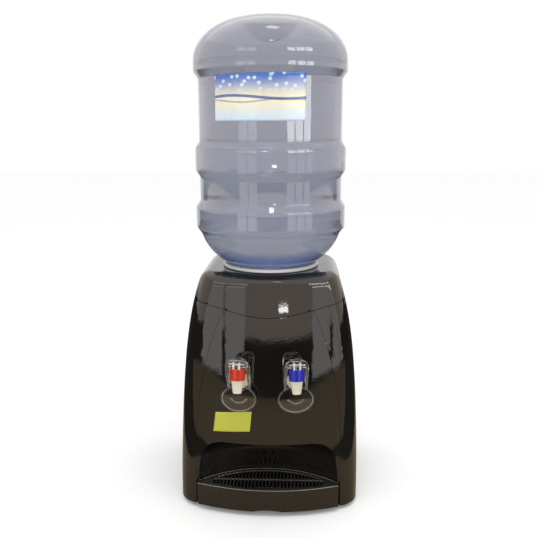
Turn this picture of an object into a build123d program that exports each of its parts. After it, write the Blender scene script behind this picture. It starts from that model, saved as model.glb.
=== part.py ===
from build123d import *
import math
import os

# Table-top hot and cold water dispenser with an inverted bottle.
# Millimetres, +Z up, the front looks along -Y, the origin is under the middle of the feet.

# Housing
DEPTH = 320.0
BODY_WIDTH = 322.0
FOOT_HEIGHT = 7.0
BODY_HEIGHT = 413.0
WALL = 3.0
SEAM_GAP = 0.5
FIT = 0.3
FRONT_LEAN = 9.0
FRONT_RADIUS = 350.0
FRONT_CORNER = 45.0
REAR_CORNER = 30.0
TOP_ROUND = 26.0
TRAY_PROUD = 5.0
DRAIN_CAP_PROUD = 8.0
WAIST_HEIGHT = 143.0
WAIST_DRAW = 0.7
WAIST_REAR_DRAW = 0.2
CHEST_HEIGHT = 297.0
CHEST_DRAW = 11.5
CHEST_REAR_DRAW = 1.5
SHOULDER_HEIGHT = 365.0
SHOULDER_DRAW = 24.2
SHOULDER_REAR_DRAW = 4.0
CROWN_DRAW = 39.5
CROWN_REAR_DRAW = 10.0

# Seams between the panels
SEAM_MID_Z = 346.0
SEAM_RISE = 25.0
SEAM_FLANK_X = 62.0
SEAM_FLANK_RISE = 8.5
OPENING_HALF = 129.0
BELL_START_Z = 130.0
BELL_MID_HALF = 118.0
BELL_MID_Z = 235.0
BELL_TOP_HALF = 72.0
BELL_TOP_Z = 375.0
REAR_PANEL_HALF = 112.0
PANEL_RIB = 2.0
PANEL_RIB_DEPTH = 5.0
PANEL_RIB_HEIGHTS = (90.0, 180.0, 270.0)

# Alcove, base and tray
ALCOVE_RADIUS = 186.0
ALCOVE_BACK_Y = -75.0
ALCOVE_TOP_Z = 125.0
ALCOVE_ROUND = 32.0
LINER_WALL = 2.5
PAN_THICKNESS = 3.0
PAN_RIM = 14.0
TRAY_HALF = 126.0
TRAY_TOP_Z = 50.0
TRAY_WALL = 2.0
TRAY_CLEARANCE = 1.0
TRAY_NOTCH_WIDTH = 52.0
TRAY_NOTCH_HEIGHT = 3.0
TRAY_LEDGE = 3.0
GRILLE_THICKNESS = 3.0
GRILLE_CLEARANCE = 0.8
GRILLE_RIM = 7.0
GRILLE_SLOT = 3.4
GRILLE_PITCH = 6.4
GRILLE_RIB = 4.0

# Feet
FOOT_RADIUS = 14.0
FOOT_DRAFT = 1.5
FOOT_X = 112.0
FOOT_FRONT_Y = -98.0
FOOT_REAR_Y = 112.0

# Bottle, collar and feed probe
BOTTLE_Y = 16.0
COLLAR_RADIUS = 89.0
COLLAR_HEIGHT = 7.0
COLLAR_WALL = 2.5
COLLAR_FLOOR_GAP = 4.0
COLLAR_SEAL_HEIGHT = 1.5
COLLAR_SEAL_WIDTH = 6.0
BOTTLE_HEIGHT = 495.5
BOTTLE_WALL = 2.0
LOBE_RADIUS = 137.0
TOP_LOBE_RADIUS = 137.8
PANEL_RADIUS = 129.3
CREST_REACH = 108.3
CREST_HEIGHT = 75.5
PUSH_UP_DEPTH = 38.0
PUSH_UP_RADIUS = 50.0
NECK_RADIUS = 27.5
NECK_LENGTH = 38.0
MOUTH_DEPTH = 60.0
NECK_CLEARANCE = 2.5
SEAT_GAP = 0.4
SEAT_RADIUS = 80.0
LOBE_BLEND = 8.0
LOBE_RAMP = 12.0
SHOULDER_RADIUS = 128.0
SHOULDER_BULGE = 110.0
BULGE_RISE = 84.0
SHOULDER_RISE = 116.0
LOW_LOBE_HEIGHT = 36.5
MID_PANEL_HEIGHT = 41.5
MID_LOBE_HEIGHT = 40.0
LABEL_PANEL_HEIGHT = 108.0
WATER_DROP = 77.5
WATER_FIT = 0.3
PROBE_RADIUS = 9.0
PROBE_WALL = 1.5
PROBE_HEIGHT = 38.0
PROBE_TAIL = 20.0
PROBE_HOLE = 5.0

# Taps
TAP_X = 46.0
TAP_Z = 255.0
TAP_REACH = 32.0
TAP_PAD_RADIUS = 17.0
TAP_PAD_PROUD = 1.5
TAP_PAD_DEPTH = 7.0
TAIL_DROP = 17.0
TAIL_RADIUS = 6.5
TAIL_BORE = 3.0
TAIL_THREAD = 18.0
STUB_RADIUS = 4.5
BARB_LENGTH = 14.0
TAP_FLANGE_RADIUS = 14.0
TAP_FLANGE = 3.0
TAP_GASKET = 2.0
NUT_ACROSS = 19.0
NUT_LENGTH = 6.0
BARREL_RADIUS = 11.0
BARREL_TOP = 8.0
BARREL_BASE = -10.0
NOZZLE_TIP = -33.0
NOZZLE_RADIUS = 7.5
CHAMBER_RADIUS = 6.2
SEAT_Z = -22.0
OUTLET_RADIUS = 4.0
RING_RADIUS = 13.5
RING_FIT = 0.2
RING_CAP = 2.3
PIN_RADIUS = 1.5
PIN_FIT = 0.06
PIN_OFFSET = 8.0
PIN_Z = 18.0
EAR_INNER = 3.4
EAR_THICKNESS = 3.0
EAR_RADIUS = 4.0
LEVER_HALF = 20.0
LEVER_ARM = 4.0
LEVER_HUB = 5.0
LEVER_CHEEK_GAP = 0.6
LEVER_TOP = 2.6
LEVER_PLATE = 3.0
LEVER_LOBE_HALF = 31.0
LEVER_LOBE_HEIGHT = 46.0
LEVER_LOBE_Z = -46.0
LEVER_SLOT_PLAY = 7.5
LEVER_LOBE_Y = -17.5
LEVER_TAB = 3.0
LEVER_TAB_FIT = 0.6
RIDGE_RADIUS = 17.0
RIDGE_WIDTH = 2.0
STEM_RADIUS = 2.0
STEM_FIT = 0.1
STEM_HEAD_RADIUS = 4.5
STEM_HEAD = 2.0
STEM_HEAD_PLAY = 1.0
SEAL_RADIUS = 5.4
SEAL_HEIGHT = 5.0
SEAL_FIT = 0.1
SPRING_RADIUS = 4.2
SPRING_WIRE = 0.5
SPRING_TURNS = 5

# Cold side
TANK_Y = 10.0
TANK_RADIUS = 56.0
TANK_WALL = 1.2
TANK_BASE_Z = 234.0
TANK_TOP_Z = 352.0
TANK_DISH = 6.0
INSULATION = 12.0
BAFFLE_Z = 296.0
BAFFLE_TUBE = 7.0
BAFFLE_HOLES = 8
STUB_BORE = 3.2
STUB_LENGTH = 22.0
COLD_STUB_X = 30.0
BRACKET_SHEET = 1.5
BRACKET_HALF = 70.0
BRACKET_WINDOW = 58.0
BRACKET_WINDOW_Z = 205.0
BRACKET_FOOT = 9.0
BRACKET_FRONT_Y = -50.0
BRACKET_REAR_Y = 84.0
COLD_BLOCK = 44.0
COLD_BLOCK_DEPTH = 14.0
SADDLE_FIT = 0.1
PELTIER = 40.0
PELTIER_THICKNESS = 4.0
STACK_Z = 290.0
SINK_WIDTH = 84.0
SINK_BASE = 5.0
SINK_FIN = 1.6
SINK_FIN_DEPTH = 30.0
SINK_FINS = 12
FAN_SIZE = 80.0
FAN_DEPTH = 25.0
FAN_BORE = 37.5
FAN_HUB = 15.0
FAN_BLADES = 7
FAN_TIP_GAP = 1.5
FAN_SHAFT = 2.5
FAN_SHAFT_FIT = 0.06
FAN_SPIDER = 3.0
FAN_ARMS = 3
FAN_BLADE_PITCH = 38.0
FAN_BLADE = 1.6

# Hot side
HOT_X = -48.0
HOT_Y = 30.0
HOT_RADIUS = 36.0
HOT_BASE_Z = 50.0
HOT_HEIGHT = 112.0
HOT_DOME = 8.0
BAND_THICKNESS = 1.4
BAND_FIT = 0.3
BAND_HEIGHT = 38.0
JACKET = 8.0
HOT_STUB_Y = 16.0
HOT_STUB = 14.0
DRAIN_STUB = 12.0
HOSE_WALL = 2.0
HOSE_FIT = 0.1
HOSE_BEND = 12.0
HOSE_RUN_Z = 196.0
FEED_RUN_Z = 188.0
HOSE_LEAD = 24.0
THERMOSTAT_RADIUS = 8.0
THERMOSTAT_HEIGHT = 6.0

# Electrics and rear fittings
SUPPLY_WIDTH = 64.0
SUPPLY_LENGTH = 104.0
SUPPLY_HEIGHT = 38.0
SUPPLY_X = 84.0
SUPPLY_Y = 14.0
BOARD_WIDTH = 56.0
BOARD_LENGTH = 84.0
BOARD_THICKNESS = 1.6
BOARD_POST = 6.0
SWITCH_Z = 74.0
SWITCH_X = 88.0
SWITCH_PITCH = 34.0
SWITCH_WIDTH = 15.0
SWITCH_HEIGHT = 21.0
BEZEL_RIM = 3.0
BEZEL_PROUD = 2.0
BEZEL_DEPTH = 14.0
BEZEL_WALL = 1.5
ROCKER_FIT = 0.4
ROCKER_HALF = 7.6
ROCKER_PROUD = 3.0
ROCKER_DIP = 1.5
ROCKER_DEPTH = 2.5
ROCKER_TILT = 8.0
ROCKER_PIN = 1.2
ROCKER_SINK = 2.0
INLET_X = -84.0
INLET_WIDTH = 27.0
INLET_HEIGHT = 20.0
INLET_DEPTH = 22.0
INLET_BLADE = 2.0
DRAIN_X = -30.0
DRAIN_Z = 22.0
DRAIN_CAP_RADIUS = 13.0
DRAIN_CAP_SIDES = 12
DRAIN_SPIGOT = 12.0
DRAIN_RADIUS = 9.0
SCREW_HEAD_RADIUS = 4.0
SCREW_HEAD = 2.2
SCREW_SHANK = 1.6
SCREW_LENGTH = 9.0
SCREW_X = 104.0
SCREW_HEIGHTS = (32.0, 150.0, 270.0)
SCREW_SINK = 1.5
SCREW_TAB = 8.0
LOUVRE_WIDTH = 62.0
LOUVRE_HEIGHT = 4.0
LOUVRE_PITCH = 9.0
LOUVRE_ROWS = 9
LOUVRE_LOW_ROWS = 4
LOUVRE_LOW_Z = 146.0

# Places that follow from the sizes
BASE_Z = FOOT_HEIGHT
TOP_Z = FOOT_HEIGHT + BODY_HEIGHT
FRONT_Y = TRAY_PROUD - DEPTH / 2
REAR_Y = DEPTH / 2 - DRAIN_CAP_PROUD
FRONT_SLOPE = math.tan(math.radians(FRONT_LEAN))
ALCOVE_CENTRE_Y = ALCOVE_BACK_Y - ALCOVE_RADIUS
PAN_TOP_Z = BASE_Z + PAN_THICKNESS
PAN_INSET = WALL + FIT + PAN_THICKNESS * FRONT_SLOPE
FAR = 2 * DEPTH


# Plain forms

def upright(radius, low, high):
    """Round bar along Z between two heights."""
    return Pos(0, 0, low) * extrude(Circle(radius), high - low)


def bar_y(radius, start, end, x, z):
    """Round bar along Y between two places."""
    return Pos(x, start, z) * (Rot(-90, 0, 0) * upright(radius, 0, end - start))


def bar_x(radius, start, end, y, z):
    """Round bar along X between two places."""
    return Pos(start, y, z) * (Rot(0, 90, 0) * upright(radius, 0, end - start))


def block(x, y, z):
    """Box between two places along each axis."""
    spans = (x, y, z)
    middle = [(low + high) / 2 for low, high in spans]
    return Pos(*middle) * Box(*[high - low for low, high in spans])


# Housing shell and its panels

def front_y(z):
    """Front of the housing on its middle line at one height."""
    return FRONT_Y + (z - BASE_Z) * FRONT_SLOPE


def housing_section(z, side_draw, rear_draw, inset):
    """Plan outline of the housing at one height: bowed front, round corners, flat sides and rear."""
    half = BODY_WIDTH / 2 - side_draw - inset
    front = front_y(z) + inset
    rear = REAR_Y - rear_draw - inset
    bow = FRONT_RADIUS - inset
    corner_y = front + bow - math.sqrt(bow**2 - half**2)
    nose = ThreePointArc((-half, corner_y), (0, front), (half, corner_y))
    back = Polyline((half, corner_y), (half, rear), (-half, rear), (-half, corner_y))
    outline = make_face([*nose.edges(), *back.edges()])
    outline = fillet(outline.vertices().sort_by(Axis.Y)[:2], FRONT_CORNER - inset)
    outline = fillet(outline.vertices().sort_by(Axis.Y)[-2:], REAR_CORNER - inset)
    return Pos(0, 0, z) * outline


def housing_form(inset):
    """Solid of the whole housing, drawn in from its outer face by inset."""
    sections = [
        housing_section(BASE_Z, 0, 0, inset),
        housing_section(BASE_Z + WAIST_HEIGHT, WAIST_DRAW, WAIST_REAR_DRAW, inset),
        housing_section(BASE_Z + CHEST_HEIGHT, CHEST_DRAW, CHEST_REAR_DRAW, inset),
        housing_section(BASE_Z + SHOULDER_HEIGHT, SHOULDER_DRAW, SHOULDER_REAR_DRAW, inset),
        housing_section(TOP_Z - inset, CROWN_DRAW, CROWN_REAR_DRAW, inset),
    ]
    form = loft(sections)
    form = fillet(form.faces().sort_by(Axis.Z)[-1].edges(), TOP_ROUND - inset)
    return form & block((-FAR, FAR), (-FAR, REAR_Y - inset), (0, FAR))


def above_seam(shift):
    """Everything above the smiling seam under the top cover, with the seam raised by shift."""
    half = BODY_WIDTH / 2
    mid = SEAM_MID_Z + shift
    points = [
        (-half, mid + SEAM_RISE),
        (-SEAM_FLANK_X, mid + SEAM_FLANK_RISE),
        (0, mid),
        (SEAM_FLANK_X, mid + SEAM_FLANK_RISE),
        (half, mid + SEAM_RISE),
    ]
    seam = Spline(*points, tangents=[(1, 0), (1, 0)])
    lid = Polyline(points[-1], (half, TOP_Z + WALL), (-half, TOP_Z + WALL), points[0])
    return extrude(Plane.XZ * make_face([*seam.edges(), *lid.edges()]), DEPTH, both=True)


def front_bell(grow):
    """Bell-shaped opening in the front of the housing, widened by grow on each side."""
    flank = Spline(
        (OPENING_HALF + grow, BELL_START_Z),
        (BELL_MID_HALF + grow, BELL_MID_Z),
        (BELL_TOP_HALF + grow, BELL_TOP_Z),
        tangents=[(0, 1), (-1, 2)],
    )
    foot = Polyline((0, 0), (OPENING_HALF + grow, 0), (OPENING_HALF + grow, BELL_START_Z))
    crown = Polyline((BELL_TOP_HALF + grow, BELL_TOP_Z), (0, BELL_TOP_Z), (0, 0))
    half = make_face([*foot.edges(), *flank.edges(), *crown.edges()])
    outline = half + mirror(half, Plane.YZ)
    return extrude(Plane.XZ * outline, DEPTH)


def slab(low, high):
    """Everything between two heights."""
    return Pos(0, 0, (low + high) / 2) * Box(FAR, FAR, high - low)


def alcove_form(grow, low):
    """Round hollow over the tray, with a rounded ceiling edge."""
    height = ALCOVE_TOP_Z + grow - low
    drum = extrude(Circle(ALCOVE_RADIUS + grow), height)
    drum = fillet(drum.edges().sort_by(Axis.Z)[-1:], ALCOVE_ROUND + grow)
    return Pos(0, ALCOVE_CENTRE_Y, low) * drum


OUTER = housing_form(0)
INNER = housing_form(WALL)
LINED = housing_form(WALL + FIT)
SHELL = OUTER - INNER


def group(pieces):
    """Several separate solids that share one name."""
    return Compound([solid for piece in pieces for solid in piece.solids()])


def tap_frame(side):
    """Frame of one tap on its pad: local -Y points out of the leaning, bowed front."""
    yaw = math.asin(side * TAP_X / FRONT_RADIUS)
    bow = FRONT_RADIUS * (1 - math.cos(yaw))
    place = Location((side * TAP_X, front_y(TAP_Z) + bow, TAP_Z), (0, 0, 0))
    turn = Location((0, 0, 0), (0, 0, math.degrees(yaw)))
    lean = Location((0, 0, 0), (-FRONT_LEAN, 0, 0))
    return place * turn * lean * Pos(0, -TAP_PAD_PROUD, 0)


def rod(radius, start, end):
    """Round bar on the axis of a tap's tail."""
    return bar_y(radius, start, end, 0, -TAIL_DROP)


SIDES = {"hot": -1, "cold": 1}
TAP_FRAMES = {name: tap_frame(side) for name, side in SIDES.items()}


def side_panels():
    """Left and right side panels, with stiffening ribs inside."""
    rear_strip = Pos(0, DEPTH / 2, TOP_Z / 2) * Box(2 * REAR_PANEL_HALF + SEAM_GAP, DEPTH, FAR)
    wraps = SHELL - above_seam(-SEAM_GAP / 2) - front_bell(SEAM_GAP / 2) - rear_strip
    rib_band = INNER - housing_form(WALL + PANEL_RIB_DEPTH)
    rib_zone = Box(FAR, BODY_WIDTH / 2, FAR) - Box(2 * REAR_PANEL_HALF, BODY_WIDTH, FAR)
    for height in PANEL_RIB_HEIGHTS:
        wraps += rib_band & rib_zone & slab(BASE_Z + height, BASE_Z + height + PANEL_RIB)
    tab_band = LINED & rib_band
    for x, z in screw_places():
        root = math.copysign(REAR_PANEL_HALF + SCREW_TAB, x)
        tab_z = (z - SCREW_TAB, z + SCREW_TAB)
        tab_x = sorted((x - math.copysign(SCREW_TAB, x), root))
        root_x = sorted((math.copysign(REAR_PANEL_HALF + SEAM_GAP, x), root))
        wraps += tab_band & block(tab_x, (0, DEPTH), tab_z)
        wraps += rib_band & block(root_x, (0, DEPTH), tab_z)
        wraps -= bar_y(SCREW_SHANK + STEM_FIT, 0, DEPTH, x, z)
    return wraps.solids().sort_by(Axis.X)


def front_panel():
    """Bell-shaped front panel with the arched alcove opening and a flat pad for each tap."""
    panel = SHELL & front_bell(-SEAM_GAP / 2)
    panel -= above_seam(-SEAM_GAP / 2)
    panel -= slab(0, TRAY_TOP_Z + TRAY_CLEARANCE)
    panel -= alcove_form(0, 0)
    for frame in TAP_FRAMES.values():
        panel += frame * rod(TAP_PAD_RADIUS, 0, TAP_PAD_DEPTH)
        panel -= frame * rod(TAIL_RADIUS + FIT, -TAP_REACH, TAP_REACH)
    return panel


def top_cover():
    """Domed top cover over the smiling seam, open for the collar."""
    cover = SHELL & above_seam(SEAM_GAP / 2)
    hole = upright(COLLAR_RADIUS - COLLAR_SEAL_WIDTH, SEAM_MID_Z, TOP_Z)
    return cover - Pos(0, BOTTLE_Y, 0) * hole


def louvre(width, z):
    """One slot through the rear panel with round ends."""
    slot = Plane.XZ * SlotOverall(width, LOUVRE_HEIGHT)
    return Pos(0, REAR_Y + WALL, z) * extrude(slot, 3 * WALL)


def rear_panel():
    """Flat rear panel with air slots behind the fan and holes for the fittings."""
    strip = Pos(0, DEPTH / 2, TOP_Z / 2) * Box(2 * REAR_PANEL_HALF - SEAM_GAP, DEPTH, FAR)
    panel = (SHELL & strip) - above_seam(-SEAM_GAP / 2)
    for row in range(LOUVRE_ROWS):
        panel -= louvre(LOUVRE_WIDTH, STACK_Z + (row - (LOUVRE_ROWS - 1) / 2) * LOUVRE_PITCH)
    for row in range(LOUVRE_LOW_ROWS):
        panel -= louvre(LOUVRE_WIDTH, LOUVRE_LOW_Z + row * LOUVRE_PITCH)
    for x in switch_places():
        panel -= Pos(x, REAR_Y, SWITCH_Z) * Box(SWITCH_WIDTH + FIT, 4 * WALL, SWITCH_HEIGHT + FIT)
    panel -= Pos(INLET_X, REAR_Y, SWITCH_Z) * Box(INLET_WIDTH + FIT, 4 * WALL, INLET_HEIGHT + FIT)
    panel -= bar_y(DRAIN_RADIUS + FIT, REAR_Y - 2 * WALL, REAR_Y + WALL, DRAIN_X, DRAIN_Z)
    for x, z in screw_places():
        panel -= bar_y(SCREW_SHANK + FIT / 2, REAR_Y - 2 * WALL, REAR_Y + WALL, x, z)
        panel -= bar_y(SCREW_HEAD_RADIUS + FIT, REAR_Y - SCREW_SINK, REAR_Y + WALL, x, z)
    return panel


def switch_places():
    """Middles of the two switches on the rear panel."""
    return [SWITCH_X - SWITCH_PITCH, SWITCH_X]


def screw_places():
    """Middles of the screws that hold the rear panel."""
    return [(side * SCREW_X, z) for side in (-1, 1) for z in SCREW_HEIGHTS]


def alcove_liner():
    """Concave liner behind the tray, closed by a rounded ceiling."""
    low = PAN_TOP_Z + FIT
    wall = alcove_form(LINER_WALL, low) - alcove_form(0, 0)
    return wall & LINED & front_bell(-SEAM_GAP)


def base_pan():
    """Bottom pan with an upright rim inside the panels and air slots."""
    outline = housing_section(BASE_Z, 0, 0, PAN_INSET)
    pan = extrude(outline, PAN_THICKNESS)
    inside = housing_section(BASE_Z, 0, 0, PAN_INSET + TRAY_WALL)
    rim = extrude(outline, PAN_RIM) - extrude(inside, PAN_RIM)
    rim -= Pos(0, ALCOVE_BACK_Y - DEPTH / 2, 0) * Box(FAR, DEPTH, FAR)
    pan += rim
    slot = extrude(SlotOverall(SUPPLY_WIDTH, LOUVRE_HEIGHT), FAR)
    for row in range(LOUVRE_LOW_ROWS):
        pan -= Pos(0, BRACKET_FRONT_Y + (row + 1) * 2 * LOUVRE_PITCH, 0) * slot
    return pan - bar_y(DRAIN_RADIUS + FIT, 0, DEPTH / 2, DRAIN_X, DRAIN_Z)


def tray_outline(inset):
    """Lens-shaped outline of the tray, drawn in by inset."""
    half = TRAY_HALF - inset
    bow = FRONT_RADIUS - inset
    front = inset - DEPTH / 2
    back = ALCOVE_RADIUS - TRAY_CLEARANCE - inset
    front_side = front + bow - math.sqrt(bow**2 - half**2)
    back_side = ALCOVE_CENTRE_Y + math.sqrt(back**2 - half**2)
    nose = ThreePointArc((-half, front_side), (0, front), (half, front_side))
    rear = ThreePointArc((half, back_side), (0, ALCOVE_CENTRE_Y + back), (-half, back_side))
    right = Line((half, front_side), (half, back_side))
    left = Line((-half, back_side), (-half, front_side))
    return make_face([*nose.edges(), *right.edges(), *rear.edges(), *left.edges()])


def tray_block(inset, low, high):
    """Upright block on the tray's outline."""
    return Pos(0, 0, low) * extrude(tray_outline(inset), high - low)


GRILLE_SEAT_Z = TRAY_TOP_Z - GRILLE_THICKNESS
TRAY_FLOOR_Z = PAN_TOP_Z + FIT
SKIRT_Z = BASE_Z + TRAY_WALL


def drip_tray():
    """Drip tray with a ledge for the grille and a skirt that hides the pan's front edge."""
    tray = tray_block(0, TRAY_FLOOR_Z, TRAY_TOP_Z)
    tray -= tray_block(TRAY_WALL + TRAY_LEDGE, TRAY_FLOOR_Z + TRAY_WALL, TRAY_TOP_Z)
    tray -= tray_block(TRAY_WALL, GRILLE_SEAT_Z, TRAY_TOP_Z)
    skirt = tray_block(0, SKIRT_Z, TRAY_FLOOR_Z) - tray_block(TRAY_WALL, SKIRT_Z, TRAY_FLOOR_Z)
    nose_end = FRONT_RADIUS - math.sqrt(FRONT_RADIUS**2 - TRAY_HALF**2) - DEPTH / 2
    tray += skirt & (Pos(0, nose_end - DEPTH / 2, 0) * Box(FAR, DEPTH, FAR))
    half = TRAY_NOTCH_WIDTH / 2
    arch = ThreePointArc((-half, SKIRT_Z), (0, SKIRT_Z + TRAY_NOTCH_HEIGHT), (half, SKIRT_Z))
    notch = make_face([*arch.edges(), *Line((half, SKIRT_Z), (-half, SKIRT_Z)).edges()])
    return tray - extrude(Plane.XZ * notch, DEPTH)


def drip_grille():
    """Lens-shaped grille plate with two rows of front-to-back slots."""
    edge = TRAY_WALL + GRILLE_CLEARANCE
    plate = tray_block(edge, GRILLE_SEAT_Z, TRAY_TOP_Z)
    field = tray_block(edge + GRILLE_RIM, GRILLE_SEAT_Z, TRAY_TOP_Z)
    middle_y = (ALCOVE_BACK_Y - DEPTH / 2) / 2
    field -= Pos(0, middle_y, TRAY_TOP_Z) * Box(FAR, GRILLE_RIB, FAR)
    count = int((TRAY_HALF - edge - 3 * GRILLE_RIM) / GRILLE_PITCH)
    slot = Pos(0, 0, TRAY_TOP_Z) * Box(GRILLE_SLOT, FAR, FAR)
    slots = group([Pos(i * GRILLE_PITCH, 0, 0) * slot for i in range(-count, count + 1)])
    return plate - (field & slots)


def rubber_feet():
    """Four round feet under the pan."""
    foot = Cone(FOOT_RADIUS - FOOT_DRAFT, FOOT_RADIUS, FOOT_HEIGHT)
    places = [(x, y) for x in (-FOOT_X, FOOT_X) for y in (FOOT_FRONT_Y, FOOT_REAR_Y)]
    return group([Pos(x, y, FOOT_HEIGHT / 2) * foot for x, y in places])


# Collar, feed probe and bottle

COLLAR_TOP_Z = TOP_Z + COLLAR_HEIGHT
MOUTH_Z = COLLAR_TOP_Z - MOUTH_DEPTH
BOTTLE_TOP_Z = MOUTH_Z + BOTTLE_HEIGHT
NECK_TOP_Z = MOUTH_Z + NECK_LENGTH
COLLAR_FLOOR_Z = MOUTH_Z - COLLAR_FLOOR_GAP
TUBE_RADIUS = NECK_RADIUS + NECK_CLEARANCE


def cone_z(radius):
    """Height of the bottle's lower cone at one radius."""
    slope = (COLLAR_TOP_Z - NECK_TOP_Z) / (SEAT_RADIUS - NECK_RADIUS)
    return NECK_TOP_Z + (radius - NECK_RADIUS) * slope


def turned(points):
    """Solid turned about the bottle's axis from a polygon of radius and height."""
    face = make_face(Polyline(*points, close=True).edges())
    return Pos(0, BOTTLE_Y, 0) * revolve(Plane.XZ * face, Axis.Z)


def bottle_collar():
    """White collar: flange on the cover, conical bottle seat and a tube for the neck."""
    flange_z = TOP_Z + COLLAR_SEAL_HEIGHT
    outer = TUBE_RADIUS + COLLAR_WALL
    hang = COLLAR_RADIUS - COLLAR_SEAL_WIDTH - COLLAR_WALL
    hole = PROBE_RADIUS + FIT
    points = [
        (COLLAR_RADIUS, flange_z),
        (COLLAR_RADIUS, COLLAR_TOP_Z - COLLAR_SEAL_HEIGHT),
        (COLLAR_RADIUS - COLLAR_SEAL_HEIGHT, COLLAR_TOP_Z),
        (SEAT_RADIUS, COLLAR_TOP_Z),
        (SEAT_RADIUS, cone_z(SEAT_RADIUS) - SEAT_GAP),
        (TUBE_RADIUS, cone_z(TUBE_RADIUS) - SEAT_GAP),
        (TUBE_RADIUS, COLLAR_FLOOR_Z),
        (hole, COLLAR_FLOOR_Z),
        (hole, COLLAR_FLOOR_Z - COLLAR_WALL),
        (outer, COLLAR_FLOOR_Z - COLLAR_WALL),
        (outer, cone_z(outer) - SEAT_GAP - COLLAR_WALL),
        (hang, cone_z(hang) - SEAT_GAP - COLLAR_WALL),
        (hang, flange_z),
    ]
    return turned(points)


def collar_seal():
    """Flat rubber ring between the collar and the cover."""
    inner = COLLAR_RADIUS - COLLAR_SEAL_WIDTH
    low, high = TOP_Z, TOP_Z + COLLAR_SEAL_HEIGHT
    return turned([(inner, low), (COLLAR_RADIUS - FIT, low), (COLLAR_RADIUS - FIT, high), (inner, high)])


def feed_probe():
    """Hollow spike that opens the bottle and feeds the cold tank."""
    tip = COLLAR_FLOOR_Z + PROBE_HEIGHT
    bore = PROBE_RADIUS - PROBE_WALL
    points = [
        (bore, COLLAR_FLOOR_Z - PROBE_TAIL),
        (PROBE_RADIUS, COLLAR_FLOOR_Z - PROBE_TAIL),
        (PROBE_RADIUS, COLLAR_FLOOR_Z),
        (PROBE_RADIUS + COLLAR_WALL, COLLAR_FLOOR_Z),
        (PROBE_RADIUS + COLLAR_WALL, COLLAR_FLOOR_Z + PROBE_WALL),
        (PROBE_RADIUS, COLLAR_FLOOR_Z + PROBE_WALL),
        (PROBE_RADIUS, tip - PROBE_RADIUS),
        (PROBE_WALL, tip),
        (0, tip),
        (0, tip - PROBE_WALL),
        (bore, tip - PROBE_RADIUS),
    ]
    probe = turned(points)
    window = Pos(0, BOTTLE_Y, tip - 2 * PROBE_RADIUS) * (Rot(90, 0, 0) * Cylinder(PROBE_HOLE, FAR))
    cross = Pos(0, BOTTLE_Y, tip - 2 * PROBE_RADIUS) * (Rot(0, 90, 0) * Cylinder(PROBE_HOLE, FAR))
    return probe - window - cross


def bottle_form(inset, mouth_z):
    """Solid of the bottle's outline, drawn in from its outer face by inset."""
    lobe = LOBE_RADIUS - inset
    top = TOP_LOBE_RADIUS - inset
    panel = PANEL_RADIUS - inset
    neck = NECK_RADIUS - inset
    low = MOUTH_Z + SHOULDER_RISE
    shoulder = ThreePointArc(
        (SEAT_RADIUS, cone_z(SEAT_RADIUS) + inset),
        (SHOULDER_BULGE - inset, MOUTH_Z + BULGE_RISE + inset),
        (SHOULDER_RADIUS - inset, low + inset),
    )
    heights = [low + LOBE_RAMP]
    for span in (LOW_LOBE_HEIGHT, LOBE_RAMP, MID_PANEL_HEIGHT, LOBE_RAMP, MID_LOBE_HEIGHT, LOBE_RAMP):
        heights.append(heights[-1] + span)
    crest_z = BOTTLE_TOP_Z - CREST_HEIGHT
    top_lobe = heights[-1] + LABEL_PANEL_HEIGHT
    radii = (lobe, lobe, panel, panel, lobe, lobe, panel)
    steps = list(zip(radii, heights)) + [(panel, top_lobe), (top, top_lobe + LOBE_RAMP), (top, crest_z)]
    reach = CREST_REACH - inset
    rise = CREST_HEIGHT - inset
    crest_x = TOP_LOBE_RADIUS - CREST_REACH
    end = math.degrees(math.acos((PUSH_UP_RADIUS - crest_x) / reach))
    crest = EllipticalCenterArc((crest_x, crest_z), reach, rise, start_angle=0, arc_size=end)
    brim = crest @ 1
    dome = (PUSH_UP_RADIUS**2 + PUSH_UP_DEPTH**2) / (2 * PUSH_UP_DEPTH)
    half_turn = math.asin(PUSH_UP_RADIUS / dome) / 2
    sag = brim.Y - PUSH_UP_DEPTH
    middle = (dome * math.sin(half_turn), sag + dome * (1 - math.cos(half_turn)))
    push_up = ThreePointArc(brim, middle, (0, sag))
    foot = Polyline((0, sag), (0, mouth_z), (neck, mouth_z), (neck, NECK_TOP_Z + inset), shoulder @ 0)
    side = Polyline(shoulder @ 1, *steps)
    face = make_face([*shoulder.edges(), *side.edges(), *crest.edges(), *push_up.edges(), *foot.edges()])
    rim_z = crest_z - LOBE_BLEND
    corners = [v for v in face.vertices() if v.X > panel - FIT and low + LOBE_BLEND < v.Y < rim_z]
    face = fillet(corners, LOBE_BLEND)
    return Pos(0, BOTTLE_Y, 0) * revolve(Plane.XZ * face, Axis.Z)


def bottle():
    """Blown bottle, neck down, with a concave base on top."""
    return bottle_form(0, MOUTH_Z) - bottle_form(BOTTLE_WALL, MOUTH_Z - BOTTLE_WALL)


def bottle_water():
    """Water that fills the bottle up to its level, open around the feed probe."""
    fill = bottle_form(BOTTLE_WALL + WATER_FIT, MOUTH_Z + BOTTLE_WALL)
    fill &= slab(0, BOTTLE_TOP_Z - WATER_DROP)
    room_top = COLLAR_FLOOR_Z + PROBE_HEIGHT + PROBE_WALL
    room = upright(PROBE_RADIUS + 2 * PROBE_WALL, COLLAR_FLOOR_Z, room_top)
    return fill - Pos(0, BOTTLE_Y, 0) * room


# Taps, each drawn in its own frame with the barrel upright

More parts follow.
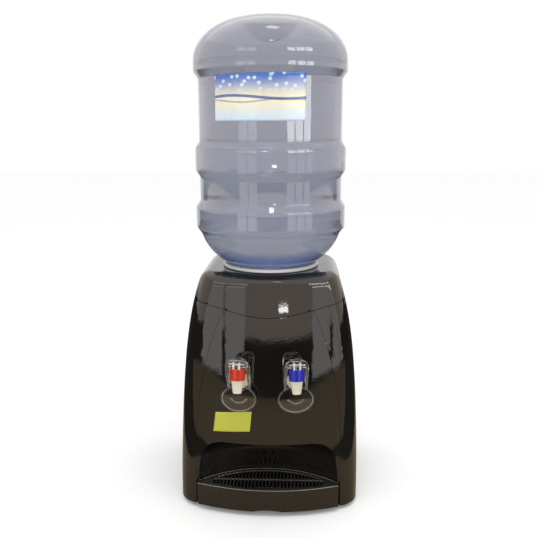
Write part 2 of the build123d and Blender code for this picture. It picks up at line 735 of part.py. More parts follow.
PIN_Y = -TAP_REACH - PIN_OFFSET
CAP_Z = BARREL_TOP + RING_FIT
CAP_TOP_Z = CAP_Z + RING_CAP
TAB_TOP_Z = PIN_Z - LEVER_HUB / 2
TAB_LOW_Z = TAB_TOP_Z - LEVER_TAB
STEM_HEAD_Z = TAB_TOP_Z + STEM_HEAD_PLAY
STEM_FOOT_Z = SEAT_Z + SEAL_FIT + SEAL_HEIGHT / 3
LEVER_TOP_Z = PIN_Z + LEVER_HUB + LEVER_TOP
CHEEK_X = EAR_INNER + EAR_THICKNESS + LEVER_CHEEK_GAP


def barrel_turn(points):
    """Solid turned about a tap's barrel axis from a polygon of radius and height."""
    face = make_face(Polyline(*points, close=True).edges())
    return Pos(0, -TAP_REACH, 0) * revolve(Plane.XZ * face, Axis.Z)


def tap_body():
    """White tap body: tail through the panel, valve chamber and tapered nozzle."""
    outline = [(0, NOZZLE_TIP), (NOZZLE_RADIUS, NOZZLE_TIP), (BARREL_RADIUS, BARREL_BASE)]
    body = barrel_turn(outline + [(BARREL_RADIUS, BARREL_TOP), (0, BARREL_TOP)])
    body += rod(TAIL_RADIUS, -TAP_REACH, TAIL_THREAD)
    body += rod(STUB_RADIUS, TAIL_THREAD, TAIL_THREAD + BARB_LENGTH)
    body += rod(TAP_FLANGE_RADIUS, -TAP_GASKET - TAP_FLANGE, -TAP_GASKET)
    body -= rod(TAIL_BORE, -TAP_REACH, TAIL_THREAD + BARB_LENGTH)
    body -= Pos(0, -TAP_REACH, 0) * upright(CHAMBER_RADIUS, SEAT_Z, BARREL_TOP)
    return body - Pos(0, -TAP_REACH, 0) * upright(OUTLET_RADIUS, NOZZLE_TIP, SEAT_Z)


def tap_gasket():
    """Rubber washer between the tap's flange and the panel."""
    return rod(TAP_FLANGE_RADIUS, -TAP_GASKET, 0) - rod(TAIL_RADIUS + FIT, -TAP_GASKET, 0)


def tap_nut():
    """Hexagon nut behind the panel."""
    hexagon = extrude(RegularPolygon(NUT_ACROSS / 2, 6, major_radius=False), NUT_LENGTH)
    nut = Pos(0, TAP_PAD_DEPTH, -TAIL_DROP) * (Rot(-90, 0, 0) * hexagon)
    return nut - rod(TAIL_RADIUS + STEM_FIT, TAP_PAD_DEPTH, TAP_PAD_DEPTH + NUT_LENGTH)


def tap_bonnet():
    """Coloured ring that closes the valve chamber, with two ears for the lever's pin."""
    sleeve = BARREL_RADIUS + RING_FIT
    stem_hole = STEM_RADIUS + STEM_FIT
    points = [
        (sleeve, BARREL_BASE),
        (RING_RADIUS, BARREL_BASE),
        (RING_RADIUS, CAP_TOP_Z - RING_CAP / 2),
        (RING_RADIUS - RING_CAP / 2, CAP_TOP_Z),
        (stem_hole, CAP_TOP_Z),
        (stem_hole, CAP_Z),
        (sleeve, CAP_Z),
    ]
    bonnet = barrel_turn(points)
    for side in (-1, 1):
        start = min(side * EAR_INNER, side * (EAR_INNER + EAR_THICKNESS))
        end = start + EAR_THICKNESS
        bonnet += bar_x(EAR_RADIUS, start, end, PIN_Y, PIN_Z)
        ear_y = (PIN_Y - EAR_RADIUS, PIN_Y + EAR_RADIUS)
        bonnet += block((start, end), ear_y, (CAP_Z + RING_CAP / 2, PIN_Z))
    return bonnet - bar_x(PIN_RADIUS + PIN_FIT, -RING_RADIUS, RING_RADIUS, PIN_Y, PIN_Z)


def lever_pin():
    """Steel pin through the bonnet's ears and the lever's cheeks."""
    return bar_x(PIN_RADIUS, -RING_RADIUS, RING_RADIUS, PIN_Y, PIN_Z)


def lever_yoke():
    """Upper half of the lever: two cheeks on the pin, a bridge and an arm each side of the ring."""
    back_y = -TAP_REACH + STEM_HEAD_RADIUS
    lobe_front = LEVER_LOBE_Y - LEVER_PLATE / 2
    lobe_back = LEVER_LOBE_Y + LEVER_PLATE / 2
    lobe_top = LEVER_LOBE_Z + LEVER_LOBE_HEIGHT / 2
    arm = Polyline(
        (PIN_Y - LEVER_HUB, LEVER_TOP_Z),
        (PIN_Y - LEVER_HUB, PIN_Z),
        (lobe_front, lobe_top - LEVER_HUB),
        (lobe_back, lobe_top - LEVER_HUB),
        (lobe_back, lobe_top + LEVER_HUB),
        (PIN_Y + 2 * LEVER_HUB, LEVER_TOP_Z),
        close=True,
    )
    arm = Plane.YZ * make_face(arm.edges())
    bridge_z = (LEVER_TOP_Z - LEVER_TOP, LEVER_TOP_Z)
    yoke = block((-LEVER_HALF, LEVER_HALF), (PIN_Y - LEVER_HUB, back_y), bridge_z)
    for side in (-1, 1):
        cheek = sorted((side * CHEEK_X, side * LEVER_HALF))
        rail = sorted((side * CHEEK_X, side * (CHEEK_X + LEVER_TAB)))
        tab = sorted((side * (STEM_RADIUS + LEVER_TAB_FIT), side * (CHEEK_X + LEVER_TAB)))
        arm_x = side * (LEVER_HALF - LEVER_ARM / 2) - LEVER_ARM / 2
        yoke += bar_x(LEVER_HUB, *cheek, PIN_Y, PIN_Z)
        yoke += block(cheek, (PIN_Y - LEVER_HUB, PIN_Y + LEVER_HUB), (PIN_Z, LEVER_TOP_Z))
        yoke += block(rail, (PIN_Y, back_y), (TAB_LOW_Z, LEVER_TOP_Z))
        yoke += block(tab, (-TAP_REACH - LEVER_TAB, -TAP_REACH + LEVER_TAB), (TAB_LOW_Z, TAB_TOP_Z))
        yoke += Pos(arm_x, 0, 0) * extrude(arm, LEVER_ARM)
    arch = RectangleRounded(2 * LEVER_HALF, 4 * LEVER_LOBE_HEIGHT, LEVER_HALF - 2 * LEVER_ARM)
    arch = Plane.XZ * (Pos(0, LEVER_TOP_Z - 2 * LEVER_LOBE_HEIGHT) * arch)
    yoke &= extrude(arch, 2 * TAP_REACH)
    return yoke - bar_x(PIN_RADIUS + PIN_FIT, -RING_RADIUS - FIT, RING_RADIUS + FIT, PIN_Y, PIN_Z)


def tap_lever():
    """Clear keyhole-shaped lever: the yoke over the ring and a wide paddle behind the nozzle."""
    middle = Pos(0, LEVER_LOBE_Z)
    lobe = middle * Ellipse(LEVER_LOBE_HALF, LEVER_LOBE_HEIGHT / 2)
    inner = middle * Ellipse(LEVER_LOBE_HALF - RIDGE_WIDTH, LEVER_LOBE_HEIGHT / 2 - RIDGE_WIDTH)
    ridge_at = Pos(0, LEVER_LOBE_Z + RIDGE_RADIUS / 2)
    ridge = ridge_at * (Circle(RIDGE_RADIUS) - Circle(RIDGE_RADIUS - RIDGE_WIDTH))
    ridge &= middle * (Pos(0, -RIDGE_RADIUS / 2) * Rectangle(2 * RIDGE_RADIUS, RIDGE_RADIUS))
    back = Plane.XZ.offset(-LEVER_LOBE_Y - LEVER_PLATE / 2)
    lever = lever_yoke() + extrude(back * lobe, LEVER_PLATE)
    lever += extrude(back * (lobe - inner), LEVER_PLATE + RIDGE_WIDTH)
    lever += extrude(back * ridge, LEVER_PLATE + RIDGE_WIDTH)
    slot = TAIL_RADIUS + LEVER_SLOT_PLAY / 3
    slot_z = -TAIL_DROP - TAIL_RADIUS - LEVER_SLOT_PLAY
    return lever - block((-slot, slot), (-TAP_REACH, 0), (slot_z, -TAIL_DROP))


def valve_stem():
    """Steel stem with a head that the lever's tabs lift."""
    stem = upright(STEM_RADIUS, STEM_FOOT_Z, STEM_HEAD_Z + STEM_HEAD)
    stem += upright(STEM_HEAD_RADIUS, STEM_HEAD_Z, STEM_HEAD_Z + STEM_HEAD)
    return Pos(0, -TAP_REACH, 0) * stem


def valve_seal():
    """Silicone plug on the foot of the stem."""
    low = SEAT_Z + SEAL_FIT
    seal = upright(SEAL_RADIUS, low, low + SEAL_HEIGHT)
    seal = fillet(seal.edges().sort_by(Axis.Z)[-1:], SEAL_HEIGHT / 4)
    seal -= upright(STEM_RADIUS + SEAL_FIT / 2, STEM_FOOT_Z, low + SEAL_HEIGHT)
    return Pos(0, -TAP_REACH, 0) * seal


def helix_point(radius, rise, turn):
    """Place and direction on a helix after a share of turns."""
    angle = 2 * math.pi * turn
    place = Vector(radius * math.cos(angle), radius * math.sin(angle), rise * turn)
    run = 2 * math.pi * radius
    heading = Vector(-run * math.sin(angle), run * math.cos(angle), rise).normalized()
    return place, heading


def helix_path(radius, rise, turns):
    """Helix made of two tangent arcs for each quarter turn."""
    arcs = []
    for step in range(4 * turns):
        start, start_way = helix_point(radius, rise, step / 4)
        end, end_way = helix_point(radius, rise, (step + 1) / 4)
        chord = end - start
        ways = start_way + end_way
        square = ways.dot(ways) - 4
        reach = (chord.dot(ways) - math.sqrt(chord.dot(ways) ** 2 - square * chord.dot(chord))) / square
        corner_a = start + start_way * reach
        corner_b = end - end_way * reach
        middle = (corner_a + corner_b) * 0.5
        arcs.append(TangentArc(start, middle, tangent=start_way))
        arcs.append(TangentArc(middle, end, tangent=corner_b - corner_a))
    return Wire([edge for arc in arcs for edge in arc.edges()])


SPRING_LOW_Z = SEAT_Z + SEAL_FIT + SEAL_HEIGHT + SPRING_WIRE + FIT
SPRING_HIGH_Z = CAP_Z - SPRING_WIRE - FIT


def valve_spring():
    """Compression spring that closes the valve."""
    rise = (SPRING_HIGH_Z - SPRING_LOW_Z) / SPRING_TURNS
    path = helix_path(SPRING_RADIUS, rise, SPRING_TURNS)
    wire = Plane(path @ 0, z_dir=path % 0) * Circle(SPRING_WIRE)
    return Pos(0, -TAP_REACH, SPRING_LOW_Z) * sweep(wire, path=path)


TAP_PIECES = {
    "tap_body": tap_body,
    "tap_gasket": tap_gasket,
    "tap_nut": tap_nut,
    "tap_bonnet": tap_bonnet,
    "lever_pin": lever_pin,
    "tap_lever": tap_lever,
    "valve_stem": valve_stem,
    "valve_seal": valve_seal,
    "valve_spring": valve_spring,
}


# Cold tank and its thermoelectric cooler

INSULATION_BASE_Z = TANK_BASE_Z - INSULATION
INSULATION_RADIUS = TANK_RADIUS + FIT + INSULATION
BLOCK_BACK_Y = TANK_Y + TANK_RADIUS + COLD_BLOCK_DEPTH
SINK_Y = BLOCK_BACK_Y + PELTIER_THICKNESS
FAN_Y = SINK_Y + SINK_BASE + SINK_FIN_DEPTH


def tank_turn(points, x, y):
    """Solid turned about an upright tank axis from a polygon of radius and height."""
    face = make_face(Polyline(*points, close=True).edges())
    return Pos(x, y, 0) * revolve(Plane.XZ * face, Axis.Z)


def tank_stubs(radius):
    """Bars at the two outlets under the cold tank."""
    low = TANK_BASE_Z - STUB_LENGTH
    stub = upright(radius, low, TANK_BASE_Z + 2 * TANK_WALL)
    return [Pos(x, TANK_Y, 0) * stub for x in (0, COLD_STUB_X)]


def cold_tank():
    """Thin steel tank with a dished base and two outlet stubs."""
    rim = TANK_RADIUS - TANK_WALL
    points = [
        (0, TANK_BASE_Z),
        (TANK_RADIUS - 2 * TANK_DISH, TANK_BASE_Z),
        (TANK_RADIUS, TANK_BASE_Z + TANK_DISH),
        (TANK_RADIUS, TANK_TOP_Z),
        (rim, TANK_TOP_Z),
        (rim, TANK_BASE_Z + TANK_DISH + TANK_WALL / 2),
        (rim - 2 * TANK_DISH, TANK_BASE_Z + TANK_WALL),
        (0, TANK_BASE_Z + TANK_WALL),
    ]
    tank = tank_turn(points, 0, TANK_Y)
    for stub in tank_stubs(STUB_RADIUS):
        tank += stub
    for bore in tank_stubs(STUB_BORE):
        tank -= bore
    return tank


def cold_tank_insulation():
    """Foam jacket round the cold tank with a window for the cold block."""
    inner = TANK_RADIUS + FIT
    floor = TANK_BASE_Z - FIT
    points = [
        (0, INSULATION_BASE_Z),
        (INSULATION_RADIUS, INSULATION_BASE_Z),
        (INSULATION_RADIUS, TANK_TOP_Z),
        (inner, TANK_TOP_Z),
        (inner, floor),
        (0, floor),
    ]
    foam = tank_turn(points, 0, TANK_Y)
    for hole in tank_stubs(STUB_RADIUS + FIT):
        foam -= hole
    half = COLD_BLOCK / 2 + FIT
    return foam - block((-half, half), (TANK_Y, DEPTH / 2), (STACK_Z - half, STACK_Z + half))


def cold_tank_lid():
    """Foam lid between the tank and the collar, open for the feed probe."""
    hole = PROBE_RADIUS + PROBE_WALL
    low, high = TANK_TOP_Z, COLLAR_FLOOR_Z - COLLAR_WALL - FIT
    lid = tank_turn([(0, low), (INSULATION_RADIUS, low), (INSULATION_RADIUS, high), (0, high)], 0, TANK_Y)
    return lid - Pos(0, BOTTLE_Y, 0) * upright(hole, low, high)


def cold_tank_baffle():
    """Baffle that keeps warm water above and leads some of it down to the hot tank."""
    plate = TANK_RADIUS - TANK_WALL - FIT
    bore = BAFFLE_TUBE - TANK_WALL
    low = TANK_BASE_Z + TANK_WALL
    points = [
        (bore, low),
        (BAFFLE_TUBE, low),
        (BAFFLE_TUBE, BAFFLE_Z),
        (plate, BAFFLE_Z),
        (plate, BAFFLE_Z + TANK_WALL),
        (bore, BAFFLE_Z + TANK_WALL),
    ]
    baffle = tank_turn(points, 0, TANK_Y)
    for place in PolarLocations(TANK_RADIUS - 2 * STUB_LENGTH / 3, BAFFLE_HOLES):
        baffle -= Pos(0, TANK_Y, 0) * place * upright(STUB_RADIUS, BAFFLE_Z, BAFFLE_Z + TANK_WALL)
    return baffle


def tank_bracket():
    """Folded sheet frame that carries the cold tank over the base pan."""
    span_y = (BRACKET_FRONT_Y, BRACKET_REAR_Y)
    half = (-BRACKET_HALF, BRACKET_HALF)
    top = INSULATION_BASE_Z
    frame = block(half, span_y, (PAN_TOP_Z, top))
    inside_y = (BRACKET_FRONT_Y + BRACKET_SHEET, BRACKET_REAR_Y - BRACKET_SHEET)
    frame -= block(half, inside_y, (PAN_TOP_Z, top - BRACKET_SHEET))
    frame -= block((-BRACKET_WINDOW, BRACKET_WINDOW), (-DEPTH, DEPTH), (0, BRACKET_WINDOW_Z))
    for hole in tank_stubs(STUB_RADIUS + HOSE_WALL):
        frame -= hole
    for side in (-1, 1):
        strip = sorted((side * BRACKET_WINDOW, side * BRACKET_HALF))
        foot_z = (PAN_TOP_Z, PAN_TOP_Z + BRACKET_SHEET)
        frame += block(strip, (BRACKET_FRONT_Y, BRACKET_FRONT_Y + BRACKET_FOOT), foot_z)
        frame += block(strip, (BRACKET_REAR_Y - BRACKET_FOOT, BRACKET_REAR_Y), foot_z)
    return frame


def cold_block():
    """Aluminium block with a saddle that fits the tank wall."""
    half = COLD_BLOCK / 2
    body = block((-half, half), (TANK_Y, BLOCK_BACK_Y), (STACK_Z - half, STACK_Z + half))
    return body - Pos(0, TANK_Y, 0) * upright(TANK_RADIUS + SADDLE_FIT, 0, TOP_Z)


def peltier_module():
    """Thermoelectric module between the cold block and the heat sink."""
    half = PELTIER / 2
    return block((-half, half), (BLOCK_BACK_Y, SINK_Y), (STACK_Z - half, STACK_Z + half))


def heat_sink():
    """Finned aluminium heat sink."""
    half = SINK_WIDTH / 2
    span_z = (STACK_Z - half, STACK_Z + half)
    sink = block((-half, half), (SINK_Y, SINK_Y + SINK_BASE), span_z)
    pitch = (SINK_WIDTH - SINK_FIN) / (SINK_FINS - 1)
    for fin in range(SINK_FINS):
        x = fin * pitch - half
        sink += block((x, x + SINK_FIN), (SINK_Y, FAN_Y), span_z)
    return sink


def fan_frame():
    """Square fan frame with a spider and a fixed shaft for the rotor."""
    half = FAN_SIZE / 2
    hub_y = FAN_Y + FAN_DEPTH - FAN_SPIDER
    frame = block((-half, half), (FAN_Y, FAN_Y + FAN_DEPTH), (STACK_Z - half, STACK_Z + half))
    frame = fillet(frame.edges().filter_by(Axis.Y), FAN_SPIDER)
    frame -= bar_y(FAN_BORE, FAN_Y, FAN_Y + FAN_DEPTH, 0, STACK_Z)
    frame += bar_y(FAN_HUB, hub_y, hub_y + FAN_SPIDER, 0, STACK_Z)
    arm_half = FAN_SPIDER / 2
    arm = block((-arm_half, arm_half), (hub_y, hub_y + FAN_SPIDER), (0, FAN_BORE + arm_half))
    for turn in range(FAN_ARMS):
        frame += Pos(0, 0, STACK_Z) * Rot(0, turn * 360 / FAN_ARMS, 0) * arm
    frame += bar_y(FAN_SHAFT, FAN_Y + 2 * FAN_SPIDER, hub_y, 0, STACK_Z)
    inset = half - FAN_SPIDER - FAN_SHAFT
    for x in (-inset, inset):
        for z in (STACK_Z - inset, STACK_Z + inset):
            frame -= bar_y(FAN_SHAFT, FAN_Y, FAN_Y + FAN_DEPTH, x, z)
    return frame


def fan_rotor():
    """Hub with pitched blades that runs on the fan's shaft."""
    low = FAN_Y + FAN_SPIDER
    high = FAN_Y + FAN_DEPTH - FAN_SPIDER - FIT
    middle = (low + high) / 2
    tip = FAN_BORE - FAN_TIP_GAP
    chord = (high - low - 2 * FAN_SPIDER) / math.cos(math.radians(FAN_BLADE_PITCH))
    blade = Rot(0, 0, FAN_BLADE_PITCH) * Box(FAN_BLADE, chord, tip)
    blade = Pos(0, middle, FAN_HUB / 2 + tip / 2) * blade
    rotor = bar_y(FAN_HUB, low, high, 0, 0)
    for turn in range(FAN_BLADES):
        rotor += Rot(0, turn * 360 / FAN_BLADES, 0) * blade
    rotor &= bar_y(tip, low, high, 0, 0)
    rotor -= bar_y(FAN_SHAFT + FAN_SHAFT_FIT, FAN_Y + FAN_SPIDER + BEZEL_WALL, high, 0, 0)
    return Pos(0, 0, STACK_Z) * rotor


# Hot tank and hoses

HOT_TOP_Z = HOT_BASE_Z + HOT_HEIGHT
JACKET_BORE = HOT_RADIUS + BAND_FIT + BAND_THICKNESS + BAND_FIT
JACKET_RADIUS = JACKET_BORE + JACKET
HOSE_TOP_Z = INSULATION_BASE_Z - BRACKET_SHEET - FIT


def hot_stub_places():
    """Inlet and outlet on top of the hot tank."""
    return [(HOT_X, HOT_Y + HOT_STUB_Y), (HOT_X, HOT_Y - HOT_STUB_Y)]


def hot_tank():
    """Closed steel tank with domed ends, an inlet, an outlet and a drain stub."""
    crown = HOT_RADIUS - HOT_DOME
    points = [
        (0, HOT_BASE_Z),
        (crown, HOT_BASE_Z),
        (HOT_RADIUS, HOT_BASE_Z + HOT_DOME / 2),
        (HOT_RADIUS, HOT_TOP_Z - HOT_DOME / 2),
        (crown, HOT_TOP_Z),
        (0, HOT_TOP_Z),
    ]
    tank = tank_turn(points, HOT_X, HOT_Y)
    for x, y in hot_stub_places():
        tank += Pos(x, y, 0) * upright(STUB_RADIUS, HOT_TOP_Z, HOT_TOP_Z + HOT_STUB)
    tank += Pos(HOT_X, HOT_Y, 0) * upright(STUB_RADIUS, HOT_BASE_Z - DRAIN_STUB, HOT_BASE_Z)
    inner = [(max(r - TANK_WALL, 0), z) for r, z in points]
    inner = [(r, z + TANK_WALL if z < (HOT_BASE_Z + HOT_TOP_Z) / 2 else z - TANK_WALL) for r, z in inner]
    tank -= tank_turn(inner, HOT_X, HOT_Y)
    for x, y in hot_stub_places():
        tank -= Pos(x, y, 0) * upright(STUB_BORE, HOT_TOP_Z - 2 * TANK_WALL, HOT_TOP_Z + HOT_STUB)
    drain = upright(STUB_BORE, HOT_BASE_Z - DRAIN_STUB, HOT_BASE_Z + 2 * TANK_WALL)
    return tank - Pos(HOT_X, HOT_Y, 0) * drain


def heater_band():
    """Clamp heater round the hot tank, with a split and two lugs."""
    low = HOT_BASE_Z + HOT_HEIGHT / 4
    inner = HOT_RADIUS + BAND_FIT
    outer = inner + BAND_THICKNESS
    high = low + BAND_HEIGHT
    band = tank_turn([(inner, low), (outer, low), (outer, high), (inner, high)], HOT_X, HOT_Y)
    return band - Pos(HOT_X + HOT_RADIUS, HOT_Y, low) * Box(HOT_DOME, HOT_DOME / 2, FAR)


def hot_tank_jacket():
    """Foam jacket round the hot tank, standing on the pan by a skirt with a notch for the drain."""
    floor = HOT_BASE_Z - FIT
    points = [
        (STUB_RADIUS + FIT, floor - JACKET),
        (JACKET_BORE, floor - JACKET),
        (JACKET_BORE, PAN_TOP_Z),
        (JACKET_RADIUS, PAN_TOP_Z),
        (JACKET_RADIUS, HOT_TOP_Z),
        (JACKET_BORE, HOT_TOP_Z),
        (JACKET_BORE, floor),
        (STUB_RADIUS + FIT, floor),
    ]
    jacket = tank_turn(points, HOT_X, HOT_Y)
    notch = STUB_RADIUS + 3 * HOSE_WALL
    return jacket - block((HOT_X - notch, HOT_X + 2 * notch), (HOT_Y, DEPTH / 2), (0, floor - JACKET))


def hot_thermostats():
    """Control and cut-out thermostats on top of the hot tank."""
    cap = upright(THERMOSTAT_RADIUS, HOT_TOP_Z, HOT_TOP_Z + THERMOSTAT_HEIGHT)
    stud = upright(THERMOSTAT_RADIUS / 2, HOT_TOP_Z, HOT_TOP_Z + 2 * THERMOSTAT_HEIGHT)
    return group([Pos(HOT_X + side * HOT_STUB_Y, HOT_Y, 0) * (cap + stud) for side in (-1, 1)])


def hose(points):
    """Hose along straight runs and round bends, slipped over the stubs at its ends."""
    path = FilletPolyline(*points, radius=HOSE_BEND)
    bore = STUB_RADIUS + HOSE_FIT
    mouth = Plane(path @ 0, z_dir=path % 0)
    return sweep(mouth * Circle(bore + HOSE_WALL), path=path) - sweep(mouth * Circle(bore), path=path)


def tap_end(name):
    """Start and lead-in of the hose on one tap's tail."""
    frame = TAP_FRAMES[name]
    start = frame * Pos(0, TAIL_THREAD + FIT, -TAIL_DROP)
    lead = frame * Pos(0, TAIL_THREAD + BARB_LENGTH + HOSE_LEAD, -TAIL_DROP)
    return start.position, lead.position


def outlet_hose(name, top, x, y):
    """Hose from a tank outlet to one tap's tail."""
    start, lead = tap_end(name)
    drop = Vector(lead.X, lead.Y, HOSE_RUN_Z)
    return hose([start, lead, drop, Vector(x, y, HOSE_RUN_Z), Vector(x, y, top)])


def cold_outlet_hose():
    """Hose from the cold tank to the cold tap."""
    return outlet_hose("cold", HOSE_TOP_Z, COLD_STUB_X, TANK_Y)


def hot_outlet_hose():
    """Hose from the hot tank to the hot tap."""
    x, y = hot_stub_places()[1]
    return outlet_hose("hot", HOT_TOP_Z + FIT, x, y)


def hot_feed_hose():
    """Hose from the baffle's tube down to the hot tank's inlet."""
    x, y = hot_stub_places()[0]
    points = [(0, TANK_Y, HOSE_TOP_Z), (0, TANK_Y, FEED_RUN_Z), (x, y, FEED_RUN_Z), (x, y, HOT_TOP_Z + FIT)]
    return hose(points)


def drain_hose():
    """Hose from the hot tank's drain to the plug in the rear panel."""
    top = HOT_BASE_Z - FIT - JACKET - FIT
    lead = REAR_Y - WALL - DRAIN_SPIGOT
    points = [
        (HOT_X, HOT_Y, top),
        (HOT_X, HOT_Y, DRAIN_Z),
        (DRAIN_X, lead - 2 * HOSE_LEAD, DRAIN_Z),
        (DRAIN_X, REAR_Y - WALL - FIT, DRAIN_Z),
    ]
    return hose(points)


# Electrics and rear fittings

SUPPLY_TOP_Z = PAN_TOP_Z + SUPPLY_HEIGHT


def power_supply():
    """Metal power supply on the pan, with air slots in its cover and a terminal strip."""
    half_x = SUPPLY_WIDTH / 2
    half_y = SUPPLY_LENGTH / 2
    case = block((-half_x, half_x), (-half_y, half_y), (PAN_TOP_Z, SUPPLY_TOP_Z))
    case = chamfer(case.edges().filter_by(Axis.Y).sort_by(Axis.Z)[-2:], TRAY_WALL)
    slot = extrude(SlotOverall(SUPPLY_WIDTH / 2, LOUVRE_HEIGHT), TRAY_WALL)
    for row in range(LOUVRE_ROWS):
        y = (row - (LOUVRE_ROWS - 1) / 2) * LOUVRE_PITCH
        case -= Pos(0, y, SUPPLY_TOP_Z - TRAY_WALL) * slot
    strip_z = (PAN_TOP_Z, PAN_TOP_Z + SCREW_TAB)
    strip = block((-half_x / 2, half_x / 2), (half_y, half_y + SCREW_TAB), strip_z)
    return Pos(SUPPLY_X, SUPPLY_Y, 0) * (case + strip)


def control_board():
    """Control board on four posts over the power supply, with its larger parts."""
    half_x = BOARD_WIDTH / 2
    half_y = BOARD_LENGTH / 2
    low = SUPPLY_TOP_Z + BOARD_POST
    high = low + BOARD_THICKNESS
    board = block((-half_x, half_x), (-half_y, half_y), (low, high))
    for x in (-half_x + BOARD_POST, half_x - BOARD_POST):
        for y in (-half_y + BOARD_POST, half_y - BOARD_POST):
            board += Pos(x, y, 0) * upright(BOARD_POST / 2, SUPPLY_TOP_Z, low)
    relay = block((-half_x / 2, 0), (-half_y / 2, 0), (high, high + 2 * BOARD_POST))
    capacitor = Pos(half_x / 2, half_y / 2, 0) * upright(BOARD_POST, high, high + 3 * BOARD_POST)
    plug = block((0, half_x / 2), (-half_y, BOARD_POST - half_y), (high, high + BOARD_POST))
    return Pos(SUPPLY_X, SUPPLY_Y, 0) * (board + relay + capacitor + plug)


def switch_bezel():
    """Housing of one rocker switch, drawn about the rocker's middle on the rear face."""
    half_x = SWITCH_WIDTH / 2
    half_z = SWITCH_HEIGHT / 2
    rim_x = half_x + BEZEL_RIM
    rim_z = half_z + BEZEL_RIM
    bezel = block((-rim_x, rim_x), (FIT, BEZEL_PROUD), (-rim_z, rim_z))
    bezel += block((-half_x, half_x), (-BEZEL_DEPTH, FIT), (-half_z, half_z))
    inner_x = half_x - BEZEL_WALL
    inner_z = half_z - BEZEL_WALL
    bezel -= block((-inner_x, inner_x), (BEZEL_WALL - BEZEL_DEPTH, BEZEL_PROUD), (-inner_z, inner_z))
    return bezel - bar_x(ROCKER_PIN + PIN_FIT, -half_x, half_x, -ROCKER_SINK, 0)


def switch_rocker():
    """Rocker with a dished face and two pivot stubs, tilted to its off position."""
    half_x = SWITCH_WIDTH / 2 - BEZEL_WALL - ROCKER_FIT
    root = ROCKER_HALF - ROCKER_DIP
    outline = Polyline(
        (ROCKER_PROUD, ROCKER_HALF),
        (ROCKER_DIP, 0),
        (ROCKER_PROUD, -ROCKER_HALF),
        (-ROCKER_DEPTH, -root),
        (-ROCKER_DEPTH, root),
        close=True,
    )
    face = Plane.YZ * make_face(outline.edges())
    rocker = Pos(-half_x, 0, 0) * extrude(face, 2 * half_x)
    pin = SWITCH_WIDTH / 2 - ROCKER_FIT
    rocker += bar_x(ROCKER_PIN, -pin, pin, 0, 0)
    return Pos(0, -ROCKER_SINK, 0) * (Rot(ROCKER_TILT, 0, 0) * rocker)


def mains_inlet():
    """Mains inlet socket with three blades inside."""
    half_x = INLET_WIDTH / 2
    half_z = INLET_HEIGHT / 2
    rim_x = half_x + BEZEL_RIM
    rim_z = half_z + BEZEL_RIM
    wall = 2 * BEZEL_WALL
    inner_x = half_x - wall
    inner_z = half_z - wall
    socket = block((-rim_x, rim_x), (FIT, BEZEL_PROUD), (-rim_z, rim_z))
    socket += block((-half_x, half_x), (-INLET_DEPTH, FIT), (-half_z, half_z))
    socket -= block((-inner_x, inner_x), (wall - INLET_DEPTH, BEZEL_PROUD), (-inner_z, inner_z))
    pitch = INLET_WIDTH / 4
    for step in (-1, 0, 1):
        blade = block((-INLET_BLADE / 2, INLET_BLADE / 2), (-INLET_DEPTH, -wall), (-wall / 2, wall / 2))
        socket += Pos(step * pitch, 0, (1 - abs(step)) * wall - wall / 2) * blade
    return Pos(INLET_X, REAR_Y, SWITCH_Z) * socket


def drain_plug():
    """Drain fitting through the rear panel with a ribbed cap."""
    grip = RegularPolygon(DRAIN_CAP_RADIUS, DRAIN_CAP_SIDES)
    cap = Pos(DRAIN_X, REAR_Y + FIT, DRAIN_Z) * (Rot(-90, 0, 0) * extrude(grip, DRAIN_CAP_PROUD - FIT))
    plug = cap + bar_y(DRAIN_RADIUS, REAR_Y - WALL - FIT, REAR_Y + FIT, DRAIN_X, DRAIN_Z)
    plug += bar_y(STUB_RADIUS, REAR_Y - WALL - DRAIN_SPIGOT, REAR_Y - WALL, DRAIN_X, DRAIN_Z)
    return plug - bar_y(STUB_BORE, REAR_Y - WALL - DRAIN_SPIGOT, REAR_Y, DRAIN_X, DRAIN_Z)


def case_screws():
    """Pan-head screws that hold the rear panel to the side panels."""
    seat = REAR_Y - SCREW_SINK
    pieces = []
    for x, z in screw_places():
        screw = bar_y(SCREW_HEAD_RADIUS, seat, seat + SCREW_HEAD, x, z)
        screw = fillet(screw.edges().sort_by(Axis.Y)[-1:], SCREW_HEAD / 3)
        pieces.append(screw + bar_y(SCREW_SHANK, seat - SCREW_LENGTH, seat, x, z))
    return group(pieces)


